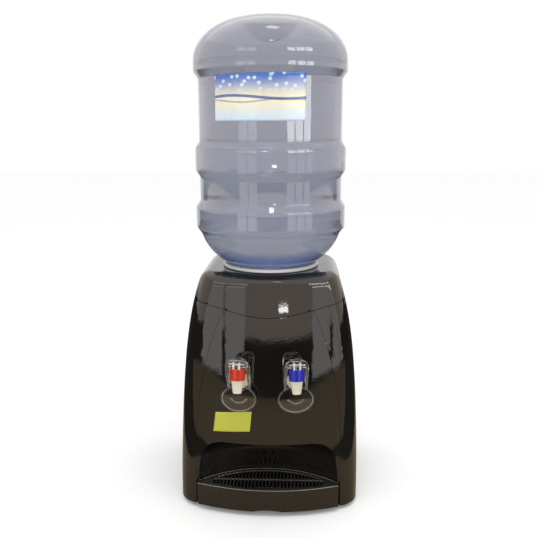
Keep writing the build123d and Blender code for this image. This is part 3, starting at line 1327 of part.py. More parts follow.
def all_nodes():
    """Every named piece of the dispenser."""
    left, right = side_panels()
    bezel = switch_bezel()
    rocker = switch_rocker()
    heat_x, cool_x = switch_places()
    nodes = {
        "base_pan": base_pan(),
        "rubber_feet": rubber_feet(),
        "left_side_panel": left,
        "right_side_panel": right,
        "front_panel": front_panel(),
        "rear_panel": rear_panel(),
        "top_cover": top_cover(),
        "alcove_liner": alcove_liner(),
        "case_screws": case_screws(),
        "drip_tray": drip_tray(),
        "drip_grille": drip_grille(),
        "bottle_collar": bottle_collar(),
        "collar_seal": collar_seal(),
        "feed_probe": feed_probe(),
        "bottle": bottle(),
        "bottle_water": bottle_water(),
        "cold_tank": cold_tank(),
        "cold_tank_insulation": cold_tank_insulation(),
        "cold_tank_lid": cold_tank_lid(),
        "cold_tank_baffle": cold_tank_baffle(),
        "tank_bracket": tank_bracket(),
        "cold_block": cold_block(),
        "peltier_module": peltier_module(),
        "heat_sink": heat_sink(),
        "fan_frame": fan_frame(),
        "fan_rotor": fan_rotor(),
        "hot_tank": hot_tank(),
        "hot_tank_jacket": hot_tank_jacket(),
        "heater_band": heater_band(),
        "hot_thermostats": hot_thermostats(),
        "hot_feed_hose": hot_feed_hose(),
        "hot_outlet_hose": hot_outlet_hose(),
        "cold_outlet_hose": cold_outlet_hose(),
        "drain_hose": drain_hose(),
        "drain_plug": drain_plug(),
        "power_supply": power_supply(),
        "control_board": control_board(),
        "mains_inlet": mains_inlet(),
        "switch_bezels": group([Pos(x, REAR_Y, SWITCH_Z) * bezel for x in switch_places()]),
        "heat_switch_rocker": Pos(heat_x, REAR_Y, SWITCH_Z) * rocker,
        "cool_switch_rocker": Pos(cool_x, REAR_Y, SWITCH_Z) * rocker,
    }
    for piece, make in TAP_PIECES.items():
        shape = make()
        for side, frame in TAP_FRAMES.items():
            nodes[f"{side}_{piece}"] = frame * shape
    return nodes


def main():
    """Write one file for each named piece."""
    os.makedirs("parts", exist_ok=True)
    for name, shape in all_nodes().items():
        export_step(shape, f"parts/{name}.step")
    coil_gap = (SPRING_HIGH_Z - SPRING_LOW_Z) / SPRING_TURNS - 2 * SPRING_WIRE
    print(f"least gap between spring coils: {coil_gap:.2f} mm")


if __name__ == "__main__":
    main()
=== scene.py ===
"""Finished look of a table-top water dispenser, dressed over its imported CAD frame.

Lengths are metres in the CAD frame: +Z is up and the taps look along -Y.
"""
import logging
import math
from dataclasses import dataclass
from enum import Enum
from typing import Callable, Iterable, Sequence

import bmesh
import bpy
from mathutils import Matrix, Vector
from mathutils.bvhtree import BVHTree


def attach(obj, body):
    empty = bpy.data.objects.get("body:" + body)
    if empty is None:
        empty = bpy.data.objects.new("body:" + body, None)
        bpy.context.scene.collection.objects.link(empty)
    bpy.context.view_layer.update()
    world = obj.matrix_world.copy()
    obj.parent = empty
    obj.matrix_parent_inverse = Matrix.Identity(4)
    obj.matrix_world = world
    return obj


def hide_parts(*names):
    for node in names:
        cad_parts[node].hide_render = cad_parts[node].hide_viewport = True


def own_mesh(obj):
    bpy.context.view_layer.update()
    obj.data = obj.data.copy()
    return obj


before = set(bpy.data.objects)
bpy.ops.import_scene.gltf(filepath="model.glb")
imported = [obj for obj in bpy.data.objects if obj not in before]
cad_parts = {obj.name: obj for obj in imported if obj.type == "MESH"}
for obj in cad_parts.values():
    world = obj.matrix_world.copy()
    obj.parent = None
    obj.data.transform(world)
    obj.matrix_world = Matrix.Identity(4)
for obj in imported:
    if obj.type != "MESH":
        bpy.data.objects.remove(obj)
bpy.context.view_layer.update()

LOG = logging.getLogger("dispenser")

# Angles in degrees
CREASE_ANGLE = 35.0
BEVEL_ANGLE = 32.0
FLAT_ANGLE = 0.05

BEVEL_STEPS = 2
BLEND_STEPS = 5
MERGE_DISTANCE = 2e-6
POLE_RADIUS = 1e-7
FILM_THICKNESS = 0.0002

Colour = tuple[float, float, float]
Point2 = tuple[float, float]
Point3 = tuple[float, float, float]
Range4 = tuple[float, float, float, float]
Piece = bpy.types.Object
Socket = bpy.types.NodeSocket
Sockets = bpy.types.bpy_prop_collection


class Side(Enum):
    """The two taps, with the sign of their place along X."""

    HOT = -1
    COLD = 1

    @property
    def word(self) -> str:
        """Name used in the CAD nodes."""
        return self.name.lower()


class Grain(Enum):
    """Size of the fine texture that a mould or a process leaves, as noise cycles per metre."""

    POLISHED = 260.0
    SATIN = 1500.0
    CAST = 700.0
    FOAM = 420.0


# Node trees

def rgba(colour: Sequence[float]) -> tuple[float, ...]:
    """Colour with full alpha."""
    return (*colour[:3], 1.0)


class ShaderTree:
    """Adds and links the nodes of one tree."""

    def __init__(self, tree: bpy.types.NodeTree) -> None:
        """Keeps the tree that the nodes go in."""
        self.tree = tree

    def fill(self, node: bpy.types.Node, inputs: dict) -> None:
        """Links a node's inputs, or writes constants in them.

        Args:
            node: Node to fill.
            inputs: Output sockets or constants by input name or number.
        """
        for key, value in inputs.items():
            socket = node.inputs[key]
            if isinstance(value, Socket):
                self.tree.links.new(value, socket)
            else:
                socket.default_value = rgba(value) if socket.type == "RGBA" else value

    def add(self, kind: str, inputs: dict | None = None, **settings: object) -> bpy.types.Node:
        """Adds one node.

        Args:
            kind: Node type.
            inputs: Values or sockets by input name or number.
            **settings: Properties of the node.

        Returns:
            The new node.
        """
        node = self.tree.nodes.new(kind)
        for key, value in settings.items():
            setattr(node, key, value)
        self.fill(node, inputs or {})
        return node

    def group(self, tree: bpy.types.NodeTree, inputs: dict) -> bpy.types.NodeOutputs:
        """Outputs of a shared group with its inputs filled."""
        return self.add("ShaderNodeGroup", inputs, node_tree=tree).outputs

    def place(self) -> Socket:
        """Object coordinates."""
        return self.add("ShaderNodeTexCoord").outputs["Object"]

    def sums(self, kind: str, first: object, second: object, clamp: bool = False) -> Socket:
        """Arithmetic on two numbers, kept between 0 and 1 where clamp is set."""
        node = self.add("ShaderNodeMath", {0: first, 1: second}, operation=kind, use_clamp=clamp)
        return node.outputs[0]

    def blend(self, share: object, low: object, high: object) -> Socket:
        """Mix of two colours, with the share of the second."""
        node = self.add("ShaderNodeMix", {0: share, 6: low, 7: high}, data_type="RGBA")
        return node.outputs[2]

    def span(self, value: object, low: float, high: float, start: float, end: float) -> Socket:
        """Maps the range low to high on the range start to end, smoothly and clamped."""
        inputs = {0: value, 1: low, 2: high, 3: start, 4: end}
        return self.add("ShaderNodeMapRange", inputs, interpolation_type="SMOOTHSTEP").outputs[0]

    def noise(self, where: object, scale: object, detail: float) -> Socket:
        """Grey noise in space, with its cycles per metre and its octaves."""
        node = self.add("ShaderNodeTexNoise", {"Vector": where, "Scale": scale, "Detail": detail})
        return node.outputs[0]

    def stretch(self, where: object, scale: Sequence[float]) -> Socket:
        """Coordinates scaled along each axis."""
        return self.add("ShaderNodeMapping", {"Vector": where, "Scale": scale}).outputs[0]

    def bump(self, height: object, strength: float, distance: float) -> Socket:
        """Normal tipped by a relief."""
        inputs = {"Height": height, "Strength": strength, "Distance": distance}
        return self.add("ShaderNodeBump", inputs).outputs[0]


class SharedEffects:
    """Shader groups that several materials use."""

    BROAD_SCALE = 9.0
    PATCH_SCALE, PATCHES = 38.0, (0.35, 0.75, 0.25, 1.0)
    SPECK_SCALE, SPECKS = 900.0, (0.6, 0.78, 0.0, 1.0)
    UPWARD = (0.2, 0.95, 0.12, 1.0)
    DULLING = 0.5
    ACROSS, ALONG = (0.12, 1.0, 2.2), (1.8, 1.0, 0.1)
    MARKS = (0.6, 0.74, 0.0, 1.0)
    WORN_SCALE, WORN = 14.0, (0.42, 0.68, 0.0, 1.0)

    def __init__(self) -> None:
        """Builds each group once."""
        dust_inputs = ["Colour*", "Dust Colour*", "Amount", "Gloss"]
        self.grain = self.make("moulding_grain", ["Scale"], ["Height", "Mask"], self.fill_grain)
        self.dust = self.make("settled_dust", dust_inputs, ["Colour*", "Roughness"], self.fill_dust)
        self.scuffs = self.make("handling_scuffs", ["Scale"], ["Mask"], self.fill_scuffs)

    @staticmethod
    def make(name: str, inputs: list[str], outputs: list[str], inside: Callable) -> bpy.types.NodeTree:
        """Makes one group; a star marks a colour socket.

        Args:
            name: Group name.
            inputs: Input names.
            outputs: Output names.
            inside: Method that adds the inside.

        Returns:
            The group tree.
        """
        tree = bpy.data.node_groups.new(name, "ShaderNodeTree")
        for names, way in ((inputs, "INPUT"), (outputs, "OUTPUT")):
            for word in names:
                kind = "NodeSocketColor" if word.endswith("*") else "NodeSocketFloat"
                tree.interface.new_socket(word.rstrip("*"), in_out=way, socket_type=kind)
        shader = ShaderTree(tree)
        shader.add("NodeGroupOutput", inside(shader, shader.add("NodeGroupInput").outputs))
        return tree

    def fill_grain(self, shader: ShaderTree, given: Sockets) -> dict:
        """Fine relief of a moulded or cast face, and broad soft patches.

        Args:
            shader: Tree of the group.
            given: The group's inputs.

        Returns:
            The group's outputs.
        """
        where = shader.place()
        fine = shader.noise(where, given["Scale"], detail=4.0)
        return {"Height": fine, "Mask": shader.noise(where, self.BROAD_SCALE, detail=2.0)}

    def fill_dust(self, shader: ShaderTree, given: Sockets) -> dict:
        """Dust that settles on faces that look up, in soft patches.

        Args:
            shader: Tree of the group.
            given: The group's inputs.

        Returns:
            The group's outputs.
        """
        where = shader.place()
        normal = shader.add("ShaderNodeNewGeometry").outputs["Normal"]
        upward = shader.span(shader.add("ShaderNodeSeparateXYZ", {0: normal}).outputs["Z"], *self.UPWARD)
        patches = shader.span(shader.noise(where, self.PATCH_SCALE, detail=5.0), *self.PATCHES)
        specks = shader.span(shader.noise(where, self.SPECK_SCALE, detail=2.0), *self.SPECKS)
        film_share = shader.sums("MULTIPLY", shader.sums("ADD", patches, specks), upward)
        share = shader.sums("MULTIPLY", film_share, given["Amount"], clamp=True)
        dulled = shader.sums("MULTIPLY", share, self.DULLING)
        return {
            "Colour": shader.blend(share, given["Colour"], given["Dust Colour"]),
            "Roughness": shader.sums("ADD", given["Gloss"], dulled, clamp=True),
        }

    def fill_scuffs(self, shader: ShaderTree, given: Sockets) -> dict:
        """Thin rub marks that run across a face in two directions.

        Args:
            shader: Tree of the group.
            given: The group's inputs.

        Returns:
            The group's outputs.
        """
        where = shader.place()
        runs = [shader.stretch(where, run) for run in (self.ACROSS, self.ALONG)]
        lines = [shader.noise(run, given["Scale"], detail=5.0) for run in runs]
        marks = shader.span(shader.sums("MAXIMUM", *lines), *self.MARKS)
        worn = shader.span(shader.noise(where, self.WORN_SCALE, detail=2.0), *self.WORN)
        return {"Mask": shader.sums("MULTIPLY", marks, worn)}


EFFECTS = SharedEffects()


# Finishes

MATERIALS: dict[str, bpy.types.Material] = {}


@dataclass(frozen=True)
class Finish:
    """One surface finish that becomes one material."""

    name: str
    colour: Colour

    def tone(self, factor: float, lift: float = 0.0) -> Colour:
        """The finish's colour, made darker or lighter."""
        return tuple(min(part * factor + lift, 1.0) for part in self.colour)

    def material(self) -> bpy.types.Material:
        """Makes the material on first use, and gives it again after that.

        Returns:
            The finish's material.
        """
        if self.name not in MATERIALS:
            made = MATERIALS[self.name] = bpy.data.materials.new(self.name)
            made.use_nodes = True
            made.diffuse_color = rgba(self.colour)
            shader = ShaderTree(made.node_tree)
            shader.fill(made.node_tree.nodes["Principled BSDF"], self.dress(shader))
        return MATERIALS[self.name]

    def dress(self, shader: ShaderTree) -> dict:
        """Adds the material's nodes; each kind of finish has its own way.

        Args:
            shader: Tree of the material.

        Returns:
            Inputs of the Principled BSDF.
        """
        raise NotImplementedError


@dataclass(frozen=True)
class Moulding(Finish):
    """Opaque moulded plastic, from polished to satin."""

    gloss: float = 0.07
    grain: Grain = Grain.POLISHED
    relief: float = 0.004
    dust: float = 0.05
    scuff: float = 0.12
    dust_colour: Colour = (0.42, 0.39, 0.34)
    scuff_scale: float = 120.0
    dark: float = 0.82
    light: Point2 = (1.12, 0.001)
    bump: float = 0.35
    bump_share: float = 0.02

    def dress(self, shader: ShaderTree) -> dict:
        """Base colour with faint shade changes, dust, rub marks and moulding grain.

        Args:
            shader: Tree of the material.

        Returns:
            Inputs of the Principled BSDF.
        """
        grain = shader.group(EFFECTS.grain, {"Scale": self.grain.value})
        shade = shader.blend(grain["Mask"], self.tone(self.dark), self.tone(*self.light))
        dust = {"Colour": shade, "Dust Colour": self.dust_colour, "Amount": self.dust, "Gloss": self.gloss}
        dusty = shader.group(EFFECTS.dust, dust)
        marks = shader.group(EFFECTS.scuffs, {"Scale": self.scuff_scale})["Mask"]
        rubbed = shader.sums("MULTIPLY", marks, self.scuff)
        return {
            "Base Color": dusty["Colour"],
            "Roughness": shader.sums("ADD", dusty["Roughness"], rubbed, clamp=True),
            "Normal": shader.bump(grain["Height"], self.bump, self.relief * self.bump_share),
        }


@dataclass(frozen=True)
class ClearMoulding(Finish):
    """Clear plastic with a slightly uneven wall."""

    ior: float = 1.5
    gloss: float = 0.02
    clarity: float = 1.0
    foot_tint: Colour | None = None
    foot_heights: Point2 = (0.443, 0.466)
    ripple: float = 40.0
    ripple_depth: float = 0.00012
    ripple_run: Point3 = (1.0, 1.0, 0.35)
    cloud_scale: float = 11.0
    cloud_light: float = 1.05
    scuff: float = 0.1
    scuff_scale: float = 90.0

    def dress(self, shader: ShaderTree) -> dict:
        """Tinted transmission, deeper at a thick foot, with a soft ripple and dull streaks.

        Args:
            shader: Tree of the material.

        Returns:
            Inputs of the Principled BSDF.
        """
        where = shader.place()
        cloud = shader.noise(where, self.cloud_scale, detail=2.0)
        tint = shader.blend(cloud, self.colour, self.tone(self.cloud_light))
        if self.foot_tint:
            height = shader.add("ShaderNodeSeparateXYZ", {0: where}).outputs["Z"]
            tint = shader.blend(shader.span(height, *self.foot_heights, 0.0, 1.0), self.foot_tint, tint)
        marks = shader.group(EFFECTS.scuffs, {"Scale": self.scuff_scale})["Mask"]
        rubbed = shader.sums("MULTIPLY", marks, self.scuff)
        wave = shader.noise(shader.stretch(where, self.ripple_run), self.ripple, detail=2.0)
        return {
            "Transmission Weight": self.clarity,
            "IOR": self.ior,
            "Base Color": tint,
            "Roughness": shader.sums("ADD", rubbed, self.gloss, clamp=True),
            "Normal": shader.bump(wave, 1.0, self.ripple_depth),
        }


@dataclass(frozen=True)
class Metal(Finish):
    """Brushed or drawn metal."""

    gloss: float = 0.28
    gloss_spread: Point2 = (-0.08, 0.12)
    stain: float = 0.8
    brush: Point3 = (1.0, 1.0, 0.03)
    brush_scale: float = 2600.0
    brush_range: Point2 = (0.3, 0.7)
    bump: Point2 = (0.2, 0.00004)

    def dress(self, shader: ShaderTree) -> dict:
        """Metal with fine brush lines, a few stains and a rough change along the lines.

        Args:
            shader: Tree of the material.

        Returns:
            Inputs of the Principled BSDF.
        """
        lines = shader.noise(shader.stretch(shader.place(), self.brush), self.brush_scale, detail=2.0)
        stains = shader.group(EFFECTS.grain, {"Scale": Grain.CAST.value})["Mask"]
        smooth, rough = (self.gloss + change for change in self.gloss_spread)
        return {
            "Metallic": 1.0,
            "Base Color": shader.blend(stains, self.tone(self.stain), self.colour),
            "Roughness": shader.span(lines, *self.brush_range, smooth, rough),
            "Normal": shader.bump(lines, *self.bump),
        }


@dataclass(frozen=True)
class Board(Finish):
    """Coated circuit board with copper runs under the coat."""

    cell_scale: float = 220.0
    tracks: Range4 = (0.38, 0.44, 0.0, 1.0)
    light: Point2 = (1.9, 0.02)
    gloss: Range4 = (0.3, 0.7, 0.3, 0.45)

    def dress(self, shader: ShaderTree) -> dict:
        """Green coat with paler tracks on a square grid.

        Args:
            shader: Tree of the material.

        Returns:
            Inputs of the Principled BSDF.
        """
        inputs = {"Vector": shader.place(), "Scale": self.cell_scale}
        cells = shader.add("ShaderNodeTexVoronoi", inputs, distance="CHEBYCHEV", feature="F1")
        tracks = shader.span(cells.outputs["Distance"], *self.tracks)
        grain = shader.group(EFFECTS.grain, {"Scale": Grain.SATIN.value})["Height"]
        return {
            "Base Color": shader.blend(tracks, self.colour, self.tone(*self.light)),
            "Roughness": shader.span(grain, *self.gloss),
        }


@dataclass(frozen=True)
class Swell:
    """One line of water on a printed film."""

    turns: float
    shift: float
    level: float
    height: float
    width: float
    share: float
    core: float = 0.7


@dataclass(frozen=True)
class PrintedFilm(Finish):
    """Printed film label: a blue sky over a pale field, soft lines of water and round bubbles."""

    pale: Colour = (0.86, 0.80, 0.58)
    deep: Colour = (0.03, 0.09, 0.33)
    foot: Colour = (0.62, 0.74, 0.86)
    bubble: Colour = (0.72, 0.84, 0.96)
    sky_rise: Range4 = (0.45, 0.98, 0.0, 1.0)
    foot_rise: Range4 = (0.02, 0.42, 0.0, 1.0)
    swells: tuple[Swell, ...] = (
        Swell(5.2, 0.6, 0.50, 0.045, 0.035, 0.9),
        Swell(7.4, 2.1, 0.43, 0.035, 0.02, 0.55),
    )
    bubble_grid: Point3 = (11.0, 5.6, 1.0)
    bubble_edge: Range4 = (0.2, 0.24, 1.0, 0.0)
    bubble_rise: Range4 = (0.55, 0.75, 0.0, 0.75)
    wrinkle_scale: float = 60.0
    gloss: Range4 = (0.3, 0.7, 0.22, 0.4)
    bump: Point2 = (0.3, 0.0002)

    def dress(self, shader: ShaderTree) -> dict:
        """Bands of colour over the label's own UV map.

        Args:
            shader: Tree of the material.

        Returns:
            Inputs of the Principled BSDF.
        """
        uv = shader.add("ShaderNodeUVMap").outputs[0]
        axes = shader.add("ShaderNodeSeparateXYZ", {0: uv}).outputs
        along, up = axes["X"], axes["Y"]
        sky = shader.blend(shader.span(up, *self.sky_rise), self.pale, self.colour)
        field = shader.blend(shader.span(up, *self.foot_rise), self.foot, sky)
        for swell in self.swells:
            turn = shader.sums("ADD", shader.sums("MULTIPLY", along, swell.turns), swell.shift)
            wave = shader.sums("MULTIPLY", shader.sums("SINE", turn, 0.0), swell.height)
            middle = shader.sums("ADD", wave, swell.level)
            off = shader.sums("ABSOLUTE", shader.sums("SUBTRACT", up, middle), 0.0)
            band = shader.span(off, swell.width * swell.core, swell.width, swell.share, 0.0)
            field = shader.blend(band, field, self.deep)
        inputs = {"Vector": shader.stretch(uv, self.bubble_grid), "Scale": 1.0}
        cells = shader.add("ShaderNodeTexVoronoi", inputs, voronoi_dimensions="2D")
        bubble = shader.span(cells.outputs["Distance"], *self.bubble_edge)
        high = shader.sums("MULTIPLY", bubble, shader.span(up, *self.bubble_rise))
        wrinkle = shader.noise(shader.place(), self.wrinkle_scale, detail=3.0)
        return {
            "Base Color": shader.blend(high, field, self.bubble),
            "Roughness": shader.span(wrinkle, *self.gloss),
            "Normal": shader.bump(wrinkle, *self.bump),
        }


# Meshes

def link(name: str, mesh: bpy.types.Mesh) -> Piece:
    """Puts a mesh in the scene.

    Args:
        name: Piece name.
        mesh: Its mesh.

    Returns:
        The new object.
    """
    piece = bpy.data.objects.new(name, mesh)
    bpy.context.scene.collection.objects.link(piece)
    return piece


def smooth(mesh: bpy.types.Mesh) -> None:
    """Shades a mesh smooth, with creases at its sharp edges."""
    mesh.shade_smooth()
    mesh.set_sharp_from_angle(angle=math.radians(CREASE_ANGLE))


def shape(name: str, points: Iterable, faces: Iterable, edges: Iterable = ()) -> Piece:
    """Makes a smooth-shaded object.

    Args:
        name: Piece name.
        points: Vertices.
        faces: Vertex numbers of each face.
        edges: Vertex numbers of each loose edge.

    Returns:
        The new object.
    """
    mesh = bpy.data.meshes.new(name)
    mesh.from_pydata(list(points), list(edges), list(faces))
    smooth(mesh)
    return link(name, mesh)


def settle(piece: Piece) -> Piece:
    """Turns a piece and its modifiers into a plain mesh.

    Args:
        piece: Object with live modifiers.

    Returns:
        The same object without modifiers.
    """
    graph = bpy.context.evaluated_depsgraph_get()
    solid = piece.evaluated_get(graph)
    mesh = bpy.data.meshes.new_from_object(solid, preserve_all_data_layers=True, depsgraph=graph)
    piece.modifiers.clear()
    piece.data = mesh
    mesh.name = piece.name
    return piece


def finish_piece(piece: Piece, finish: Finish, body: str, slot: str, *nodes: str) -> None:
    """Dresses a piece and sets it on its body.

    Args:
        piece: The piece.
        finish: Its finish.
        body: CAD body that carries it.
        slot: Material slot of the record; not used.
        *nodes: CAD nodes that it stands for.
    """
    piece.data.materials.clear()
    piece.data.materials.append(finish.material())
    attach(piece, body)
    if nodes:
        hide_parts(*nodes)
    LOG.info("%s on %s: %d faces", piece.name, body, len(piece.data.polygons))


def dress_node(node: str, finish: Finish) -> None:
    """Gives a CAD node that stays its finish.

    Args:
        node: CAD node.
        finish: Its finish.
    """
    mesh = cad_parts[node].data
    mesh.materials.clear()
    mesh.materials.append(finish.material())
    LOG.info("%s keeps its CAD shape", node)


def pick_faces(piece: Piece, test: Callable[[bpy.types.MeshPolygon], bool]) -> list[int]:
    """Numbers of a piece's faces that pass a test."""
    return [face.index for face in piece.data.polygons if test(face)]


def paint_faces(piece: Piece, finish: Finish, faces: Iterable[int]) -> None:
    """Gives some faces of a piece a second finish.

    Args:
        piece: Dressed piece.
        finish: Second finish.
        faces: Face numbers.
    """
    piece.data.materials.append(finish.material())
    for face in faces:
        piece.data.polygons[face].material_index = len(piece.data.materials) - 1


def softened(node: str, radius: float, mark: bool = False) -> Piece:
    """Copies a CAD node with its sharp edges rounded.

    Args:
        node: CAD node.
        radius: Edge radius.
        mark: Puts the faces of the rounded edges in a second material slot.

    Returns:
        The new object.
    """
    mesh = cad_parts[node].data.copy()
    if "custom_normal" in mesh.attributes:
        mesh.attributes.remove(mesh.attributes["custom_normal"])
    shell = bmesh.new()
    shell.from_mesh(mesh)
    bmesh.ops.remove_doubles(shell, verts=shell.verts, dist=MERGE_DISTANCE)
    flat = math.radians(FLAT_ANGLE)
    bmesh.ops.dissolve_limit(shell, angle_limit=flat, verts=shell.verts, edges=shell.edges)
    shell.to_mesh(mesh)
    shell.free()
    mesh.shade_smooth()
    piece = link(f"{node}_skin", mesh)
    bevel = piece.modifiers.new("rounded_edges", "BEVEL")
    bevel.width, bevel.segments = radius, BEVEL_STEPS
    bevel.limit_method = "ANGLE"
    bevel.angle_limit = math.radians(BEVEL_ANGLE)
    bevel.use_clamp_overlap = True
    if mark:
        mesh.materials.append(None)
        bevel.material = len(mesh.materials) - 1
    level = piece.modifiers.new("face_normals", "WEIGHTED_NORMAL")
    level.keep_sharp = True
    return settle(piece)


def soften_node(node: str, radius: float, finish: Finish, body: str, slot: str) -> Piece:
    """Sets a dressed copy with rounded edges in a CAD node's place.

    Args:
        node: CAD node.
        radius: Edge radius.
        finish: Its finish.
        body: CAD body that carries it.
        slot: Material slot of the record.

    Returns:
        The new piece.
    """
    piece = softened(node, radius)
    finish_piece(piece, finish, body, slot, node)
    return piece


def rounded(corners: Sequence[Point3]) -> list[Point2]:
    """Outline through corners, each blended by its own radius.

    Args:
        corners: Radius, height and blend radius of each corner.

    Returns:
        The outline's points.
    """
    line: list[Point2] = []
    last = len(corners) - 1
    for number, (x, z, blend) in enumerate(corners):
        here = Vector((x, z))
        if number in (0, last) or blend <= 0:
            line.append((x, z))
            continue
        back = (Vector(corners[number - 1][:2]) - here).normalized()
        ahead = (Vector(corners[number + 1][:2]) - here).normalized()
        half = back.angle(ahead) / 2
        reach = blend / math.tan(half)
        centre = here + (back + ahead).normalized() * (blend / math.sin(half))
        start = here + back * reach - centre
        end = here + ahead * reach - centre
        turn = start.angle_signed(end)
        for step in range(BLEND_STEPS + 1):
            spoke = start.copy()
            spoke.rotate(Matrix.Rotation(-turn * step / BLEND_STEPS, 2))
            line.append(tuple(centre + spoke))
    return line


def lathe(
    name: str, outline: Sequence[Point2], steps: int, centre: Point2 = (0.0, 0.0), closed: bool = False
) -> Piece:
    """Turns an outline of radius and height about an upright axis.

    Args:
        name: Piece name.
        outline: Points from the bottom up on the outside; ends on the axis become poles.
        steps: Faces round the axis.
        centre: Place of the axis.
        closed: Joins the last point to the first.

    Returns:
        The new object.
    """
    points: list[Point3] = []
    rings: list[list[int]] = []
    for radius, height in outline:
        if radius < POLE_RADIUS:
            rings.append([len(points)] * steps)
            points.append((*centre, height))
            continue
        rings.append(list(range(len(points), len(points) + steps)))
        for step in range(steps):
            angle = 2 * math.pi * step / steps
            x, y = centre[0] + radius * math.cos(angle), centre[1] + radius * math.sin(angle)
            points.append((x, y, height))
    pairs = list(zip(rings, rings[1:])) + ([(rings[-1], rings[0])] if closed else [])
    faces = []
    for low, high in pairs:
        for step in range(steps):
            after = (step + 1) % steps
            face = list(dict.fromkeys([low[step], low[after], high[after], high[step]]))
            if len(face) > 2:
                faces.append(face)
    return shape(name, points, faces)


def film(name: str, columns: int, rows: int, place: Callable[[float, float], Sequence]) -> Piece:
    """Thin printed film over a grid of places, with a UV map of its own.

    Args:
        name: Piece name.
        columns: Faces along the film.
        rows: Faces up the film.
        place: Gives the place of a point from its shares along and up.

    Returns:
        The film with its thickness.
    """
    wide = columns + 1
    spots = [(column / columns, row / rows) for row in range(rows + 1) for column in range(wide)]
    starts = [row * wide + column for row in range(rows) for column in range(columns)]
    faces = [(start, start + 1, start + wide + 1, start + wide) for start in starts]
    piece = shape(name, [place(*spot) for spot in spots], faces)
    layer = piece.data.uv_layers.new(name="film")
    for loop in piece.data.loops:
        layer.data[loop.index].uv = spots[loop.vertex_index]
    piece.modifiers.new("film_thickness", "SOLIDIFY").thickness = FILM_THICKNESS
    return settle(piece)


class NodeForge(ShaderTree):
    """Builds one Geometry Nodes tree with named inputs, and sets it on a piece."""

    KINDS = {int: "NodeSocketInt", float: "NodeSocketFloat", Piece: "NodeSocketObject"}

    def __init__(self, name: str, places: Sequence, edges: Sequence = (), **inputs: object) -> None:
        """Starts a tree.

        Args:
            name: Tree name.
            places: Points that the tree may start from.
            edges: Pairs of those points that the tree may follow.
            **inputs: Named inputs with their values.
        """
        super().__init__(bpy.data.node_groups.new(name, "GeometryNodeTree"))
        interface = self.tree.interface
        for way in ("INPUT", "OUTPUT"):
            interface.new_socket("Geometry", in_out=way, socket_type="NodeSocketGeometry")
        self.places, self.edges, self.values = places, edges, {}
        for key, value in inputs.items():
            kind = next(word for sort, word in self.KINDS.items() if isinstance(value, sort))
            socket = interface.new_socket(key, in_out="INPUT", socket_type=kind)
            self.values[socket.identifier] = value
        self.given = self.add("NodeGroupInput").outputs

    def forge(self, name: str, result: Socket, finish: Finish) -> Piece:
        """Ends the tree, runs it and keeps its plain mesh.

        Args:
            name: Piece name.
            result: Geometry that holds the instances.
            finish: Finish of the piece.

        Returns:
            The finished object.
        """
        real = self.add("GeometryNodeRealizeInstances", {"Geometry": result}).outputs[0]
        coat = {"Geometry": real, "Material": finish.material()}
        self.add("NodeGroupOutput", {0: self.add("GeometryNodeSetMaterial", coat).outputs[0]})
        piece = shape(name, self.places, [], self.edges)
        modifier = piece.modifiers.new(name, "NODES")
        modifier.node_group = self.tree
        for key, value in self.values.items():
            modifier[key] = value
        return settle(piece)


def repeat(name: str, model: Piece, places: Sequence, finish: Finish) -> Piece:
    """Sets one model on each of several places with Geometry Nodes.

    Args:
        name: Piece name.
        model: Object to repeat; it is removed afterwards.
        places: Points that carry a copy each.
        finish: Finish of the piece.

    Returns:
        One plain object with all the copies.
    """
    forge = NodeForge(f"{name}_tree", places, Model=model, Scale=1.0)
    source = forge.add("GeometryNodeObjectInfo", {"Object": forge.given["Model"]}).outputs["Geometry"]
    dots = forge.add("GeometryNodeMeshToPoints", {"Mesh": forge.given["Geometry"]}).outputs[0]
    size = forge.add("ShaderNodeCombineXYZ", {axis: forge.given["Scale"] for axis in "XYZ"}).outputs[0]
    inputs = {"Points": dots, "Instance": source, "Scale": size}
    piece = forge.forge(name, forge.add("GeometryNodeInstanceOnPoints", inputs).outputs[0], finish)
    bpy.data.objects.remove(model)
    return piece


# The object's finishes

GLOSS_BLACK = Moulding("gloss_black_casing", (0.0075, 0.0065, 0.005), gloss=0.03, dust=0.02)
SATIN_BLACK = Moulding(
    "satin_black_liner", (0.006, 0.006, 0.006), gloss=0.28, grain=Grain.SATIN, relief=0.003, dust=0.02
)
LINER_BLACK = Moulding("liner_black", (0.0045, 0.0042, 0.004), gloss=0.11, dust=0.03)
# Painted highlight: a pale colour on the rounded tray and grille edges that stands in for light they catch.
EDGE_HIGHLIGHT = Moulding("rubbed_edge", (0.34, 0.33, 0.31), gloss=0.25, dust=0.0)
TRAY_BLACK = Moulding("tray_black", (0.0085, 0.0075, 0.006), gloss=0.08, dust=0.03)
COLLAR_WHITE = Moulding(
    "white_collar_plastic", (0.78, 0.78, 0.76), gloss=0.22, dust_colour=(0.5, 0.47, 0.42)
)
TAP_CREAM = Moulding("tap_cream_white", (0.70, 0.66, 0.53), gloss=0.2, dust_colour=(0.45, 0.4, 0.33))
RING_RED = Moulding("red_ring_plastic", (0.52, 0.035, 0.012), gloss=0.12, dust_colour=(0.4, 0.2, 0.15))
RING_BLUE = Moulding("blue_ring_plastic", (0.012, 0.026, 0.36), gloss=0.12, dust_colour=(0.2, 0.22, 0.4))
